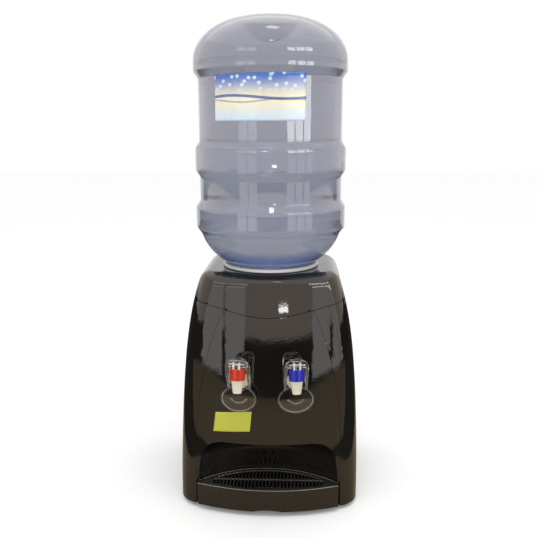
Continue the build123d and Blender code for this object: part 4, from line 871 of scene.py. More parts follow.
# Painted highlight: a pale opaque colour on the clear levers' front edges that stands in for light they
# catch.
LEVER_EDGE_HIGHLIGHT = Moulding("lever_frosted_edge", (0.80, 0.82, 0.82), gloss=0.2, dust=0.0)
LEVER_CLEAR = ClearMoulding("clear_lever_plastic", (0.93, 0.94, 0.94), ior=1.49, ripple_depth=0.00002)
BOTTLE_BLUE = ClearMoulding(
    "blue_bottle_plastic", (0.525, 0.545, 0.62), gloss=0.03, clarity=0.85, foot_tint=(0.29, 0.36, 0.62)
)
WATER = ClearMoulding("clear_water", (0.96, 0.975, 0.99), ior=1.33, gloss=0.0, ripple_depth=0.00001)
LABEL_FILM = PrintedFilm("label_film", (0.045, 0.16, 0.55))
STICKER = Moulding("yellow_sticker", (0.50, 0.50, 0.03), gloss=0.35, grain=Grain.CAST, scuff=0.2)
RUBBER = Moulding("foot_rubber", (0.016, 0.016, 0.016), gloss=0.6, grain=Grain.SATIN, relief=0.01)
SILICONE = Moulding("silicone_hose", (0.62, 0.62, 0.60), gloss=0.35, grain=Grain.SATIN)
NUT_PLASTIC = Moulding("nut_plastic", (0.55, 0.54, 0.50), gloss=0.35, grain=Grain.SATIN)
STEEL = Metal("drawn_steel", (0.60, 0.59, 0.57))
ALUMINIUM = Metal("extruded_aluminium", (0.78, 0.79, 0.80), gloss=0.34)
CERAMIC = Moulding("module_ceramic", (0.80, 0.80, 0.77), gloss=0.4, grain=Grain.CAST)
FOAM = Moulding("jacket_foam", (0.55, 0.52, 0.44), gloss=0.85, grain=Grain.FOAM, relief=0.08)
BOARD = Board("coated_board", (0.015, 0.12, 0.045))
ROCKER_RED = Moulding("red_rocker_plastic", (0.42, 0.018, 0.012), gloss=0.2)
ROCKER_GREEN = Moulding("green_rocker_plastic", (0.015, 0.22, 0.05), gloss=0.2)


# Bottle

def arc_through(first: Point2, middle: Point2, last: Point2, steps: int) -> list[Point2]:
    """Points of the arc through three points.

    Args:
        first: Start.
        middle: Point on the way.
        last: End.
        steps: Number of spans.

    Returns:
        The points, ends included.
    """
    (ax, ay), (bx, by), (cx, cy) = first, middle, last
    spread = 2 * (ax * (by - cy) + bx * (cy - ay) + cx * (ay - by))
    squares = [x * x + y * y for x, y in (first, middle, last)]
    ox = (squares[0] * (by - cy) + squares[1] * (cy - ay) + squares[2] * (ay - by)) / spread
    oy = (squares[0] * (cx - bx) + squares[1] * (ax - cx) + squares[2] * (bx - ax)) / spread
    radius = math.hypot(ax - ox, ay - oy)
    start = math.atan2(ay - oy, ax - ox)
    sweep = math.atan2(cy - oy, cx - ox) - start
    sweep = (sweep + math.pi) % (2 * math.pi) - math.pi
    turns = [start + sweep * step / steps for step in range(steps + 1)]
    return [(ox + radius * math.cos(turn), oy + radius * math.sin(turn)) for turn in turns]


@dataclass
class WaterBottle:
    """Inverted blown bottle with its water and its printed label."""

    axis: Point2 = (0.0, 0.016)
    mouth: float = 0.367
    neck: Point2 = (0.0275, 0.405)
    seat: Point2 = (0.080, 0.427)
    bulge: Point2 = (0.110, 0.451)
    shoulder: Point2 = (0.128, 0.483)
    lobe: float = 0.137
    top_lobe: float = 0.1378
    panel: float = 0.1293
    low_lobe: Point2 = (0.495, 0.5315)
    mid_panel: Point2 = (0.5435, 0.585)
    mid_lobe: Point2 = (0.597, 0.637)
    label_panel: Point2 = (0.649, 0.757)
    crest: Point2 = (0.769, 0.787)
    crest_size: Point2 = (0.1083, 0.0755)
    push_up: Point2 = (0.050, 0.038)
    blend: float = 0.008
    brim_blend: float = 0.006
    brim_spans: int = 2
    wall: float = 0.002
    water_fit: float = 0.0003
    water_level: float = 0.785
    meniscus: tuple[Point2, ...] = ((0.0004, 0.0), (0.004, 0.0012))
    water_dip: float = 0.0014
    probe_room: Point2 = (0.012, 0.4025)
    label_turn: float = -7.0
    label_arc: float = 72.5
    label_span: Point2 = (0.6835, 0.7575)
    label_skew: float = 0.003
    label_lift: float = 0.0003
    label_grid: tuple[int, int] = (56, 24)
    steps: int = 160
    arc_steps: int = 14
    crest_steps: int = 20

    def body_line(self, inset: float) -> list[Point2]:
        """Outer line from the neck's top to the crest, drawn in by an inset.

        Args:
            inset: Distance inside the outer face.

        Returns:
            Points of radius and height.
        """
        bends = [(x - inset, z + inset) for x, z in (self.bulge, self.shoulder)]
        shoulder = arc_through((self.seat[0], self.seat[1] + inset), *bends, self.arc_steps)
        bands = (
            (self.lobe, self.low_lobe),
            (self.panel, self.mid_panel),
            (self.lobe, self.mid_lobe),
            (self.panel, self.label_panel),
            (self.top_lobe, self.crest),
        )
        corners = [(*shoulder[-1], 0.0)]
        for radius, heights in bands:
            corners += [(radius - inset, height, self.blend) for height in heights]
        return [(self.neck[0] - inset, self.neck[1] + inset)] + shoulder[:-1] + rounded(corners)

    def top_line(self, inset: float) -> list[Point2]:
        """Crest and push-up from the top lobe to the axis, drawn in by an inset.

        Args:
            inset: Distance inside the outer face.

        Returns:
            Points of radius and height.
        """
        reach, rise = (size - inset for size in self.crest_size)
        middle = self.top_lobe - self.crest_size[0]
        rim, depth = self.push_up
        end = math.acos((rim - middle) / reach)
        turns = [end * step / self.crest_steps for step in range(1, self.crest_steps)]
        crest = [(middle + reach * math.cos(t), self.crest[1] + rise * math.sin(t)) for t in turns]
        brim = self.crest[1] + rise * math.sin(end)
        dome = (rim**2 + depth**2) / (2 * depth)
        half = math.asin(rim / dome) / 2
        foot = brim - depth
        between = (dome * math.sin(half), foot + dome * (1 - math.cos(half)))
        hollow = arc_through((rim, brim), between, (0.0, foot), self.arc_steps)
        beyond = hollow[self.brim_spans:]
        edge = rounded([(*crest[-1], 0.0), (rim, brim, self.brim_blend), (*beyond[0], 0.0)])
        return crest[:-1] + edge + beyond[1:]

    def build_shell(self) -> None:
        """Blown wall from the lip to the push-up and back inside."""
        outside, inside = (
            [(self.neck[0] - inset, self.mouth)] + self.body_line(inset) + self.top_line(inset)
            for inset in (0.0, self.wall)
        )
        piece = lathe("bottle_shell", outside + inside[::-1], self.steps, self.axis, closed=True)
        finish_piece(piece, BOTTLE_BLUE, "bottle", "bottle_blue", "bottle")

    def build_water(self) -> None:
        """Water up to its level, with room for the feed probe."""
        inset, level = self.wall + self.water_fit, self.water_level
        low = self.mouth + self.wall
        room, ceiling = self.probe_room
        line = [point for point in self.body_line(inset) + self.top_line(inset) if point[1] < level]
        surface = [(line[-1][0] - inward, level - down) for inward, down in self.meniscus]
        foot = [(0.0, ceiling), (room, ceiling), (room, low), (self.neck[0] - inset, low)]
        outline = foot + line + surface + [(0.0, level - self.water_dip)]
        piece = lathe("bottle_water_body", outline, self.steps, self.axis)
        finish_piece(piece, WATER, "bottle", "water", "bottle_water")

    def radius_at(self, height: float) -> float:
        """Outer radius of the body at a height.

        Args:
            height: Height in the frame.

        Returns:
            The radius there.
        """
        line = self.body_line(0.0)
        for (near, low), (far, high) in zip(line, line[1:]):
            if low <= height <= high:
                return near + (far - near) * (height - low) / (high - low)
        return self.panel

    def label_place(self, along: float, up: float) -> Point3:
        """Place of a point of the label.

        Args:
            along: Share of the label's length.
            up: Share of its height.

        Returns:
            The place on the bottle.
        """
        low, high = self.label_span
        height = low + (high + self.label_skew * along - low) * up
        angle = math.radians(self.label_turn + (along - 0.5) * self.label_arc)
        radius = self.radius_at(height) + self.label_lift
        return self.axis[0] + radius * math.sin(angle), self.axis[1] - radius * math.cos(angle), height

    def build_label(self) -> None:
        """Printed film on the label panel."""
        piece = film("bottle_label", *self.label_grid, self.label_place)
        finish_piece(piece, LABEL_FILM, "bottle", "bottle_blue")

    def build(self) -> None:
        """Builds the bottle's pieces in order."""
        self.build_shell()
        self.build_water()
        self.build_label()


# Casing

@dataclass
class ScrewHead:
    """Pan head with a cross recess, looking along +Y from its seat."""

    radius: float = 0.004
    height: float = 0.0022
    hollow: float = 0.0014
    crown: float = 0.00099
    arms: Point2 = (0.0024, 0.00052)
    recess: Point2 = (0.00099, 0.00264)
    steps: int = 24

    def cutter(self, wide: float, deep: float) -> Piece:
        """One bar of the cross recess.

        Args:
            wide: Half its length along X.
            deep: Half its length along Y.

        Returns:
            The bar, to be cut out and then removed.
        """
        ring = ((-wide, -deep), (wide, -deep), (wide, deep), (-wide, deep))
        points = [(x, y, z) for z in self.recess for x, y in ring]
        sides = [(k, (k + 1) % 4, (k + 1) % 4 + 4, k + 4) for k in range(4)]
        return shape("recess", points, [(0, 3, 2, 1), (4, 5, 6, 7), *sides])

    def build(self) -> Piece:
        """Turns the head and cuts its recess.

        Returns:
            The head, to be repeated and then removed.
        """
        radius, height = self.radius, self.height
        crown = [(radius, height, self.crown), (0.0, height, 0.0)]
        line = rounded([(self.hollow, 0.0, 0.0), (radius, 0.0, 0.0), *crown])
        head = lathe("screw_head", [(0.0, 0.0), *line], self.steps)
        cutters = [self.cutter(*arms) for arms in (self.arms, self.arms[::-1])]
        for cutter in cutters:
            cut = head.modifiers.new("recess", "BOOLEAN")
            cut.operation = "DIFFERENCE"
            cut.object = cutter
        settle(head)
        for cutter in cutters:
            bpy.data.objects.remove(cutter)
        head.data.transform(Matrix.Rotation(-math.pi / 2, 4, "X"))
        smooth(head.data)
        return head


@dataclass
class Casing:
    """Moulded housing with its panels, feet, screws, sticker and rear fittings."""

    edge: float = 0.0005
    fitting_edge: float = 0.0004
    collar_edge: float = 0.0006
    rear: float = 0.152
    screw_x: float = 0.104
    screw_heights: Point3 = (0.032, 0.150, 0.270)
    screw_sink: float = 0.0015
    foot_x: float = 0.112
    foot_y: Point2 = (-0.098, 0.112)
    foot_line: tuple[Point3, ...] = (
        (0.0, 0.0, 0.0), (0.007, 0.0, 0.0003), (0.0077, 0.0012, 0.0004),
        (0.01008, 0.0012, 0.0004), (0.01078, 0.0, 0.0004), (0.01246, 0.0, 0.001),
        (0.01358, 0.00525, 0.001), (0.014, 0.007, 0.0), (0.0, 0.007, 0.0),
    )
    foot_steps: int = 40
    drain: Point2 = (-0.030, 0.022)
    cap_line: tuple[Point3, ...] = (
        (0.0, 0.0003, 0.0), (0.01144, 0.0003, 0.0), (0.01144, 0.008, 0.0012),
        (0.0078, 0.008, 0.0006), (0.00715, 0.0072, 0.0006), (0.0, 0.0072, 0.0),
    )
    cap_steps: int = 64
    ribs: int = 36
    rib_sides: int = 8
    rib_ring: float = 0.0117
    rib_size: Point2 = (0.0013, 0.00576)
    rib_middle: float = 0.00368
    sticker: tuple[Point2, ...] = (
        (-0.0975, 0.1425), (-0.0313, 0.1478), (-0.0282, 0.1831), (-0.0935, 0.177)
    )
    sticker_lift: float = 0.00025
    sticker_grid: tuple[int, int] = (24, 14)
    sight_y: float = -0.5

    def build_panels(self) -> None:
        """Panels, cover, liner and pan with rounded edges."""
        for node in ("front_panel", "left_side_panel", "right_side_panel", "top_cover"):
            soften_node(node, self.edge, GLOSS_BLACK, "housing", "gloss_black")
        matt = {"rear_panel": SATIN_BLACK, "alcove_liner": LINER_BLACK, "base_pan": SATIN_BLACK}
        for node, finish in matt.items():
            soften_node(node, self.edge, finish, "housing", "satin_black")

    def build_collar(self) -> None:
        """White collar on the cover, with its seal."""
        soften_node("bottle_collar", self.collar_edge, COLLAR_WHITE, "housing", "collar_white")
        dress_node("collar_seal", RUBBER)

    def build_screws(self) -> None:
        """Six cross-recess screws on the rear panel."""
        seat = self.rear - self.screw_sink
        places = [(x, seat, z) for x in (-self.screw_x, self.screw_x) for z in self.screw_heights]
        piece = repeat("rear_screws", ScrewHead().build(), places, STEEL)
        finish_piece(piece, STEEL, "housing", "steel", "case_screws")

    def build_feet(self) -> None:
        """Four rubber feet with a ring groove underneath."""
        foot = lathe("foot", rounded(self.foot_line), self.foot_steps)
        places = [(x, y, 0.0) for x in (-self.foot_x, self.foot_x) for y in self.foot_y]
        piece = repeat("rubber_foot_set", foot, places, RUBBER)
        finish_piece(piece, RUBBER, "housing", "rubber_black", "rubber_feet")

    def build_drain(self) -> None:
        """Drain cap on the rear panel, with grip ribs set round it by Geometry Nodes."""
        x, z = self.drain
        turn = Matrix.Translation((x, self.rear, z)) @ Matrix.Rotation(-math.pi / 2, 4, "X")
        cap = lathe("drain_cap", rounded(self.cap_line), self.cap_steps)
        cap.data.transform(turn)
        finish_piece(cap, SATIN_BLACK, "housing", "satin_black", "drain_plug")
        width, length = self.rib_size
        inputs = {"Count": self.ribs, "Radius": self.rib_ring, "Length": length, "Thickness": width}
        forge = NodeForge("grip_rib_tree", [], **inputs)
        count, radius, long, thick = (forge.given[key] for key in inputs)
        ring = forge.add("GeometryNodeMeshCircle", {"Vertices": count, "Radius": radius}).outputs[0]
        size = forge.add("ShaderNodeCombineXYZ", {"X": thick, "Y": thick, "Z": long}).outputs[0]
        rod = {"Vertices": self.rib_sides, "Radius": 0.5, "Depth": 1.0}
        rib = forge.add("GeometryNodeMeshCylinder", rod).outputs["Mesh"]
        shaped = forge.add("GeometryNodeTransform", {"Geometry": rib, "Scale": size}).outputs[0]
        copies = forge.add("GeometryNodeInstanceOnPoints", {"Points": ring, "Instance": shaped}).outputs[0]
        piece = forge.forge("drain_cap_ribs", copies, SATIN_BLACK)
        piece.data.transform(turn @ Matrix.Translation((0.0, 0.0, self.rib_middle)))
        finish_piece(piece, SATIN_BLACK, "housing", "satin_black")

    def build_switches(self) -> None:
        """Rear switches and inlet with rounded edges."""
        for node in ("switch_bezels", "mains_inlet"):
            soften_node(node, self.fitting_edge, SATIN_BLACK, "housing", "satin_black")
        rockers = (("heat", ROCKER_RED, "rocker_red"), ("cool", ROCKER_GREEN, "rocker_green"))
        for word, finish, slot in rockers:
            soften_node(f"{word}_switch_rocker", self.fitting_edge, finish, f"{word}_switch", slot)

    def build_sticker(self) -> None:
        """Blank yellow sticker pressed on the front panel."""
        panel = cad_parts["front_panel"].data
        tree = BVHTree.FromPolygons([v.co for v in panel.vertices], [p.vertices for p in panel.polygons])
        corners = [Vector(corner) for corner in self.sticker]

        def place(along: float, up: float) -> Vector:
            """Place of a point of the sticker, a film's lift off the panel.

            Args:
                along: Share of the sticker's length.
                up: Share of its height.

            Returns:
                The place on the panel.
            """
            left, right = corners[0].lerp(corners[3], up), corners[1].lerp(corners[2], up)
            x, z = left.lerp(right, along)
            spot, normal, _, _ = tree.ray_cast(Vector((x, self.sight_y, z)), Vector((0.0, 1.0, 0.0)))
            return spot + normal * self.sticker_lift

        finish_piece(film("blank_sticker", *self.sticker_grid, place), STICKER, "housing", "gloss_black")

    def build(self) -> None:
        """Builds the casing's pieces in order."""
        self.build_panels()
        self.build_collar()
        self.build_screws()
        self.build_feet()
        self.build_drain()
        self.build_switches()
        self.build_sticker()


# Drip tray

@dataclass
class TrayUnit:
    """Drip tray and its slatted grille."""

    front_middle: float = 0.190
    front_bow: float = 0.350
    rear_middle: float = -0.261
    rear_bow: float = 0.185
    margin: float = 0.0028
    field: float = 0.0098
    half: float = 0.1232
    field_half: float = 0.0977
    field_steps: int = 40
    tip_steps: int = 6
    top: float = 0.050
    thickness: float = 0.003
    pitch: float = 0.0064
    slats: int = 30
    slat: float = 0.0028
    slat_sink: float = 0.0003
    slat_round: float = 0.0006
    rib: Point2 = (-0.1195, -0.1155)
    edge: float = 0.0006
    facing: float = -0.3
    rising: float = 0.1

    def limits(self, x: float, inset: float) -> Point2:
        """Front and rear limits of the grille at X, inside the tray's outline by an inset."""
        front = self.front_middle - math.sqrt((self.front_bow - inset) ** 2 - x * x)
        return front, self.rear_middle + math.sqrt((self.rear_bow - inset) ** 2 - x * x)

    def rubbed(self, face: bpy.types.MeshPolygon, rising: float) -> bool:
        """Tells if a face looks to the front and up, where the pale edge highlight is painted."""
        return face.normal.y < self.facing and face.normal.z > rising

    def build_tray(self) -> None:
        """Tray with rounded edges, with a painted highlight along its front lip."""
        piece = softened("drip_tray", self.edge, mark=True)
        marked = set(pick_faces(piece, lambda face: face.material_index))
        lip = marked.intersection(pick_faces(piece, lambda face: self.rubbed(face, -self.facing)))
        finish_piece(piece, TRAY_BLACK, "tray", "gloss_black", "drip_tray")
        # Painted highlight on the tray's front lip.
        paint_faces(piece, EDGE_HIGHLIGHT, lip)

    def build_frame(self) -> None:
        """Lens-shaped rim of the grille with its cross rib, with painted highlights on its edges that face
        the front and up.
        """
        tip, tips, steps = self.half - self.field_half, self.tip_steps, self.field_steps
        outer = [self.field_half + tip * step / tips for step in range(1, tips + 1)]
        inner = [self.field_half * step / steps for step in range(-steps, steps + 1)]
        points: list[Point3] = []
        columns: list[list[int]] = []
        for x in [-x for x in reversed(outer)] + inner + outer:
            front, rear = self.limits(x, self.margin)
            levels = [front, rear]
            if abs(x) <= self.field_half:
                near, far = self.limits(x, self.field)
                levels = [front, near, *self.rib, far, rear]
            columns.append(list(range(len(points), len(points) + len(levels))))
            points += [(x, y, self.top) for y in levels]
        faces = []
        for left, right in zip(columns, columns[1:]):
            if len(left) == len(right):
                faces += [(left[k], right[k], right[k + 1], left[k + 1]) for k in range(0, len(left), 2)]
            else:
                faces.append([left[0], *right, *left[:0:-1]])
        piece = shape("grille_rim", points, faces)
        piece.modifiers.new("plate_thickness", "SOLIDIFY").thickness = self.thickness
        bevel = piece.modifiers.new("rounded_edges", "BEVEL")
        bevel.width, bevel.segments = self.edge, BEVEL_STEPS
        piece.modifiers.new("face_normals", "WEIGHTED_NORMAL")
        settle(piece)
        lip = pick_faces(piece, lambda face: self.rubbed(face, self.rising))
        finish_piece(piece, TRAY_BLACK, "grille", "satin_black", "drip_grille")
        # Painted highlight on the grille's edges that face the front and up.
        paint_faces(piece, EDGE_HIGHLIGHT, lip)

    def build_slats(self) -> None:
        """Rounded slats between the grille's front and rear rims, swept by Geometry Nodes."""
        middle = self.top - self.slat_sink - self.slat / 2
        points: list[Point3] = []
        for number in range(self.slats):
            x = (number + 0.5 - self.slats / 2) * self.pitch
            points += [(x, y, middle) for y in self.limits(x, (self.margin + self.field) / 2)]
        edges = [(2 * number, 2 * number + 1) for number in range(self.slats)]
        forge = NodeForge("slat_tree", points, edges, Width=self.slat, Round=self.slat_round)
        path, width, ease = (forge.given[key] for key in ("Geometry", "Width", "Round"))
        paths = forge.add("GeometryNodeMeshToCurve", {"Mesh": path}).outputs[0]
        square = forge.add("GeometryNodeCurvePrimitiveQuadrilateral", {"Width": width, "Height": width})
        eased = {"Curve": square.outputs[0], "Radius": ease, "Count": 2}
        outline = forge.add("GeometryNodeFilletCurve", eased, mode="POLY").outputs[0]
        sweep = {"Curve": paths, "Profile Curve": outline, "Fill Caps": True}
        bars = forge.add("GeometryNodeCurveToMesh", sweep).outputs[0]
        piece = forge.forge("grille_slats", bars, TRAY_BLACK)
        finish_piece(piece, TRAY_BLACK, "grille", "satin_black")

    def build(self) -> None:
        """Builds the tray's pieces in order."""
        self.build_tray()
        self.build_frame()
        self.build_slats()


# Taps

@dataclass
class Tap:
    """One push-lever tap on the leaning, bowed front."""

    side: Side
    ring: Finish
    ring_slot: str
    x: float = 0.046
    z: float = 0.255
    base: float = 0.007
    front: float = -0.155
    bow: float = 0.350
    lean: float = 9.0
    proud: float = 0.0015
    reach: float = 0.032
    spring_top: float = 0.0079
    spring_kept: float = 0.949
    edge: float = 0.0005
    rim: float = 0.0013
    rim_facing: float = -0.2
    ear_foot: float = 0.0107

    def node(self, part: str) -> str:
        """Name of one of the tap's nodes, bodies or joints."""
        return f"{self.side.word}_{part}"

    def frame(self) -> Matrix:
        """Frame of the tap on its pad, with the barrel upright in it.

        Returns:
            The frame's matrix.
        """
        yaw = math.asin(self.side.value * self.x / self.bow)
        slope = math.tan(math.radians(self.lean))
        y = self.front + (self.z - self.base) * slope + self.bow * (1 - math.cos(yaw))
        place = Matrix.Translation((self.side.value * self.x, y, self.z))
        turn = Matrix.Rotation(yaw, 4, "Z") @ Matrix.Rotation(-math.radians(self.lean), 4, "X")
        return place @ turn @ Matrix.Translation((0.0, -self.proud, 0.0))

    def build_bonnet(self) -> None:
        """Coloured ring with the pale ears that hold the lever's pin."""
        piece = soften_node(self.node("tap_bonnet"), self.edge, self.ring, "housing", self.ring_slot)
        upright = self.frame().inverted()
        ears = pick_faces(piece, lambda face: (upright @ face.center).z > self.ear_foot)
        paint_faces(piece, TAP_CREAM, ears)

    def build_lever(self) -> None:
        """Clear push lever, with a painted highlight along its rounded front edges."""
        node = self.node("tap_lever")
        piece = softened(node, self.rim, mark=True)
        rims = pick_faces(piece, lambda face: face.material_index and face.normal.y < self.rim_facing)
        finish_piece(piece, LEVER_CLEAR, self.node("lever"), "lever_clear", node)
        # Painted highlight on the lever's rounded front edges.
        paint_faces(piece, LEVER_EDGE_HIGHLIGHT, rims)

    def build_spring(self) -> None:
        """Steel valve spring, copied from its CAD node with a mesh of its own."""
        piece = soften_node(self.node("valve_spring"), 0.0, STEEL, "housing", "steel")
        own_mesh(piece)

    def build(self) -> None:
        """Builds the tap's pieces in order."""
        soften_node(self.node("tap_body"), self.edge, TAP_CREAM, "housing", "tap_white")
        self.build_bonnet()
        self.build_lever()
        self.build_spring()
        for part, finish in (
            ("tap_gasket", RUBBER),
            ("tap_nut", NUT_PLASTIC),
            ("lever_pin", STEEL),
            ("valve_stem", STEEL),
            ("valve_seal", RUBBER),
        ):
            dress_node(self.node(part), finish)


# Inner works

@dataclass
class InnerWorks:
    """Tanks, cooling, heating and electrics, which keep their CAD shapes."""

    finishes: tuple[tuple[Finish, tuple[str, ...]], ...] = (
        (STEEL, ("cold_tank", "tank_bracket", "hot_tank", "heater_band", "power_supply")),
        (ALUMINIUM, ("cold_block", "heat_sink")),
        (FOAM, ("cold_tank_insulation", "hot_tank_jacket")),
        (SILICONE, ("hot_feed_hose", "hot_outlet_hose", "cold_outlet_hose", "drain_hose")),
        (COLLAR_WHITE, ("feed_probe", "cold_tank_lid", "cold_tank_baffle")),
        (SATIN_BLACK, ("fan_frame", "fan_rotor", "hot_thermostats")),
        (CERAMIC, ("peltier_module",)),
        (BOARD, ("control_board",)),
    )

    def build(self) -> None:
        """Gives every inner node its finish."""
        for finish, nodes in self.finishes:
            for node in nodes:
                dress_node(node, finish)


# Studio

@dataclass(frozen=True)
class PlainStage(Finish):
    """Plain matt stage surface."""

    gloss: float = 0.9
    shine: float = 0.1

    def dress(self, shader: ShaderTree) -> dict:
        """One even colour with hardly any shine."""
        return {"Base Color": self.colour, "Roughness": self.gloss, "Specular IOR Level": self.shine}


@dataclass(frozen=True)
class FloorStage(PlainStage):
    """Pale floor that stays white to the camera as far as its edge, and keeps the shadow."""

    lift: float = 0.1

    def dress(self, shader: ShaderTree) -> dict:
        """The plain stage with a faint glow that only the camera sees."""
        seen = shader.sums("MULTIPLY", shader.add("ShaderNodeLightPath").outputs["Is Camera Ray"], self.lift)
        return super().dress(shader) | {"Emission Color": self.colour, "Emission Strength": seen}


@dataclass(frozen=True)
class LitStage(Finish):
    """Stage surface that glows by itself."""

    strength: float = 1.0

    def dress(self, shader: ShaderTree) -> dict:
        """One even glow with no shine."""
        glow = {"Emission Color": self.colour, "Emission Strength": self.strength}
        return glow | {"Base Color": (0.0, 0.0, 0.0), "Specular IOR Level": 0.0}


FLOOR = FloorStage("floor_pale", (0.95, 0.95, 0.95))
BROWN_FLOOR = PlainStage("brown_floor", (0.62, 0.47, 0.30))
DARK_SKIRT = PlainStage("dark_skirt", (0.02, 0.018, 0.015))
WINDOW = LitStage("window_glow", (1.0, 0.99, 0.96), strength=9.0)
FAR_WINDOW = LitStage("far_window_glow", (1.0, 0.99, 0.96), strength=3.5)
LOW_WINDOW = LitStage("low_window_glow", (1.0, 0.97, 0.93), strength=2.1)
ROOM_WALL = LitStage("room_wall", (1.0, 0.86, 0.74), strength=1.5)
ROOM_CEILING = LitStage("room_ceiling", (1.0, 0.94, 0.88), strength=1.9)


@dataclass(frozen=True)
class Lamp:
    """Soft rectangular lamp, with its power in watts, that may show in reflections."""

    name: str
    place: Point3
    aim: Point3
    size: Point2
    power: float
    shines: bool = True

    def build(self) -> None:
        """Sets the lamp in the scene."""
        data = bpy.data.lights.new(self.name, "AREA")
        data.shape = "RECTANGLE"
        data.size, data.size_y = self.size
        data.energy = self.power
        lamp = bpy.data.objects.new(self.name, data)
        lamp.visible_camera = False
        lamp.visible_glossy = self.shines
        bpy.context.scene.collection.objects.link(lamp)
        way = Vector(self.aim) - Vector(self.place)
        turn = way.to_track_quat("-Z", "Y").to_matrix().to_4x4()
        lamp.matrix_world = Matrix.Translation(self.place) @ turn


def level(across: Point2, along: Point2, height: float) -> list[Point3]:
    """Corners of a level rectangle from its limits along X and Y."""
    (left, right), (near, far) = across, along
    return [(left, near, height), (right, near, height), (right, far, height), (left, far, height)]


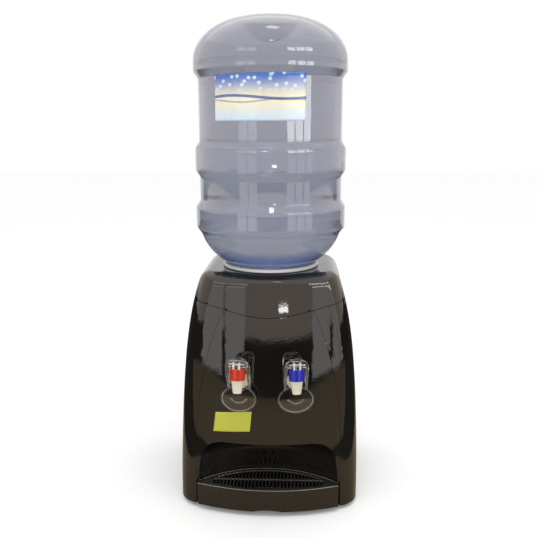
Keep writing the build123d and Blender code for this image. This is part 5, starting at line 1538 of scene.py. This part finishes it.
@dataclass
class Studio:
    """Floor, light and camera around the object; angles are degrees."""

    eye: Point3 = (0.0542, -1.2401, 0.6717)
    yaw: float = -2.63
    pitch: float = 11.75
    roll: float = -0.15
    focus: float = 677.9
    frame_width: float = 538.0
    sensor: float = 36.0
    floor_half: float = 9.0
    room_half: float = 2.6
    room_split: float = -0.19
    lane_half: float = 1.1
    skirt: float = 0.31
    shade_near: float = 0.45
    shade_front: float = -0.6
    ceiling: float = 2.7
    card_lift: float = 0.0004
    surround: Point2 = (0.93, 1.0)
    window_away: float = 2.2
    window_heights: tuple[Point2, Point2] = ((0.65, 0.92), (1.4, 1.9))
    low_heights: Point2 = (0.1, 0.62)
    panes: tuple[tuple[float, float, Finish], ...] = (
        (27.0, 39.0, WINDOW),
        (41.0, 53.0, WINDOW),
        (55.0, 66.0, WINDOW),
        (-31.0, -18.0, FAR_WINDOW),
        (-47.0, -33.0, FAR_WINDOW),
    )
    lamps: tuple[Lamp, ...] = (
        Lamp("desk_lamp", (0.28, -2.08, 0.454), (0.02, -0.1, 0.36), (0.22, 0.035), 0.55),
        Lamp("tube_lamp", (0.1, -1.3, 2.3), (0.0, 0.0, 0.5), (0.2, 0.1), 0.75),
        Lamp("top_lamp", (0.05, 0.1, 2.4), (0.0, 0.0, 0.8), (0.3, 0.2), 0.8),
        Lamp("ceiling_lamp", (0.2, -0.4, 2.4), (0.0, 0.0, 0.3), (1.6, 1.2), 12.0, shines=False),
    )

    def build_camera(self) -> None:
        """Camera at the fitted place and angle."""
        data = bpy.data.cameras.new("view_camera")
        data.sensor_width = self.sensor
        data.lens = self.focus / self.frame_width * self.sensor
        camera = bpy.data.objects.new("view_camera", data)
        bpy.context.scene.collection.objects.link(camera)
        turn = Matrix.Rotation(-math.radians(self.yaw), 4, "Z")
        tilt = Matrix.Rotation(math.radians(90 - self.pitch), 4, "X")
        roll = Matrix.Rotation(math.radians(self.roll), 4, "Z")
        camera.matrix_world = Matrix.Translation(self.eye) @ turn @ tilt @ roll
        bpy.context.scene.camera = camera

    def build_floor(self) -> None:
        """Pale floor that holds the shadow."""
        reach = (-self.floor_half, self.floor_half)
        floor = shape("floor", level(reach, reach, 0.0), [(0, 1, 2, 3)])
        floor.data.materials.append(FLOOR.material())

    def build_world(self) -> None:
        """White surround for the camera and for reflections, softer as a light."""
        world = bpy.data.worlds.new("surround")
        world.use_nodes = True
        bpy.context.scene.world = world
        shader = ShaderTree(world.node_tree)
        rays = shader.add("ShaderNodeLightPath").outputs
        seen = shader.sums("MAXIMUM", rays["Is Camera Ray"], rays["Is Glossy Ray"])
        seen = shader.sums("MAXIMUM", seen, rays["Is Transmission Ray"])
        strength = shader.span(seen, 0.0, 1.0, *self.surround)
        shader.fill(world.node_tree.nodes["Background"], {"Strength": strength, "Color": (1.0, 1.0, 1.0)})

    def card(self, name: str, corners: Sequence[Point3], finish: Finish, through: bool = False) -> None:
        """Card that only reflections see.

        Args:
            name: Card name.
            corners: Its four corners in order.
            finish: Its finish.
            through: Also shows through clear pieces.
        """
        card = shape(name, corners, [(0, 1, 2, 3)])
        card.data.materials.append(finish.material())
        for part in ("camera", "diffuse", "shadow", "volume_scatter"):
            setattr(card, f"visible_{part}", False)
        card.visible_transmission = through

    def upright(
        self, name: str, ends: Sequence[Point2], heights: Point2, finish: Finish, through: bool = False
    ) -> None:
        """Upright card between two places on the floor.

        Args:
            name: Card name.
            ends: Its ends as X and Y.
            heights: Its foot and its head.
            finish: Its finish.
            through: Also shows through clear pieces.
        """
        foot, head = heights
        corners = [(*end, foot) for end in ends] + [(*end, head) for end in reversed(ends)]
        self.card(name, corners, finish, through)

    def build_room(self) -> None:
        """Floor, low skirt, walls and ceiling that the casing reflects."""
        half, lane = self.room_half, self.lane_half
        low, middle, high = (layer * self.card_lift for layer in (1, 2, 3))
        whole, skirt = (-half, half), (0.0, self.skirt)
        self.card("floor_card", level(whole, whole, low), BROWN_FLOOR)
        corners = level((-lane, lane), (-half, self.room_split), middle)
        self.card("lane_card", corners, BROWN_FLOOR, through=True)
        ends = ((-lane, middle - half), (lane, middle - half))
        self.upright("lane_skirt_card", ends, skirt, DARK_SKIRT, through=True)
        spots = ((-half, half), (-half, -half), (half, -half), (half, half))
        for number, ends in enumerate(zip(spots, spots[1:])):
            self.upright(f"skirt_card_{number}", ends, skirt, DARK_SKIRT)
            self.upright(f"wall_card_{number}", ends, (self.skirt, self.ceiling), ROOM_WALL)
        for word, x in (("left", -half), ("right", half)):
            across = (x, math.copysign(self.shade_near, x))
            self.card(f"{word}_shade_card", level(across, (self.shade_front, half), high), DARK_SKIRT)
        self.card("ceiling_card", level(whole, whole, self.ceiling), ROOM_CEILING)

    def build_windows(self) -> None:
        """Panes of two windows that shine on the bottle, with dimmer panes below."""
        for number, (start, end, finish) in enumerate(self.panes):
            turns = [math.radians(turn) for turn in (start, end)]
            ends = [(self.window_away * math.sin(turn), -self.window_away * math.cos(turn)) for turn in turns]
            for word, heights in zip(("middle", "high"), self.window_heights):
                self.upright(f"{word}_pane_{number}", ends, heights, finish)
            self.upright(f"low_pane_{number}", ends, self.low_heights, LOW_WINDOW)

    def build(self) -> None:
        """Builds the studio."""
        self.build_camera()
        self.build_floor()
        self.build_world()
        self.build_room()
        self.build_windows()
        for lamp in self.lamps:
            lamp.build()
        bpy.context.scene.view_settings.view_transform = "Standard"


def main() -> None:
    logging.basicConfig(level=logging.INFO, format="%(message)s")
    Studio().build()
    Casing().build()
    TrayUnit().build()
    Tap(Side.HOT, RING_RED, "ring_red").build()
    Tap(Side.COLD, RING_BLUE, "ring_blue").build()
    WaterBottle().build()
    InnerWorks().build()


if __name__ == "__main__":
    main()
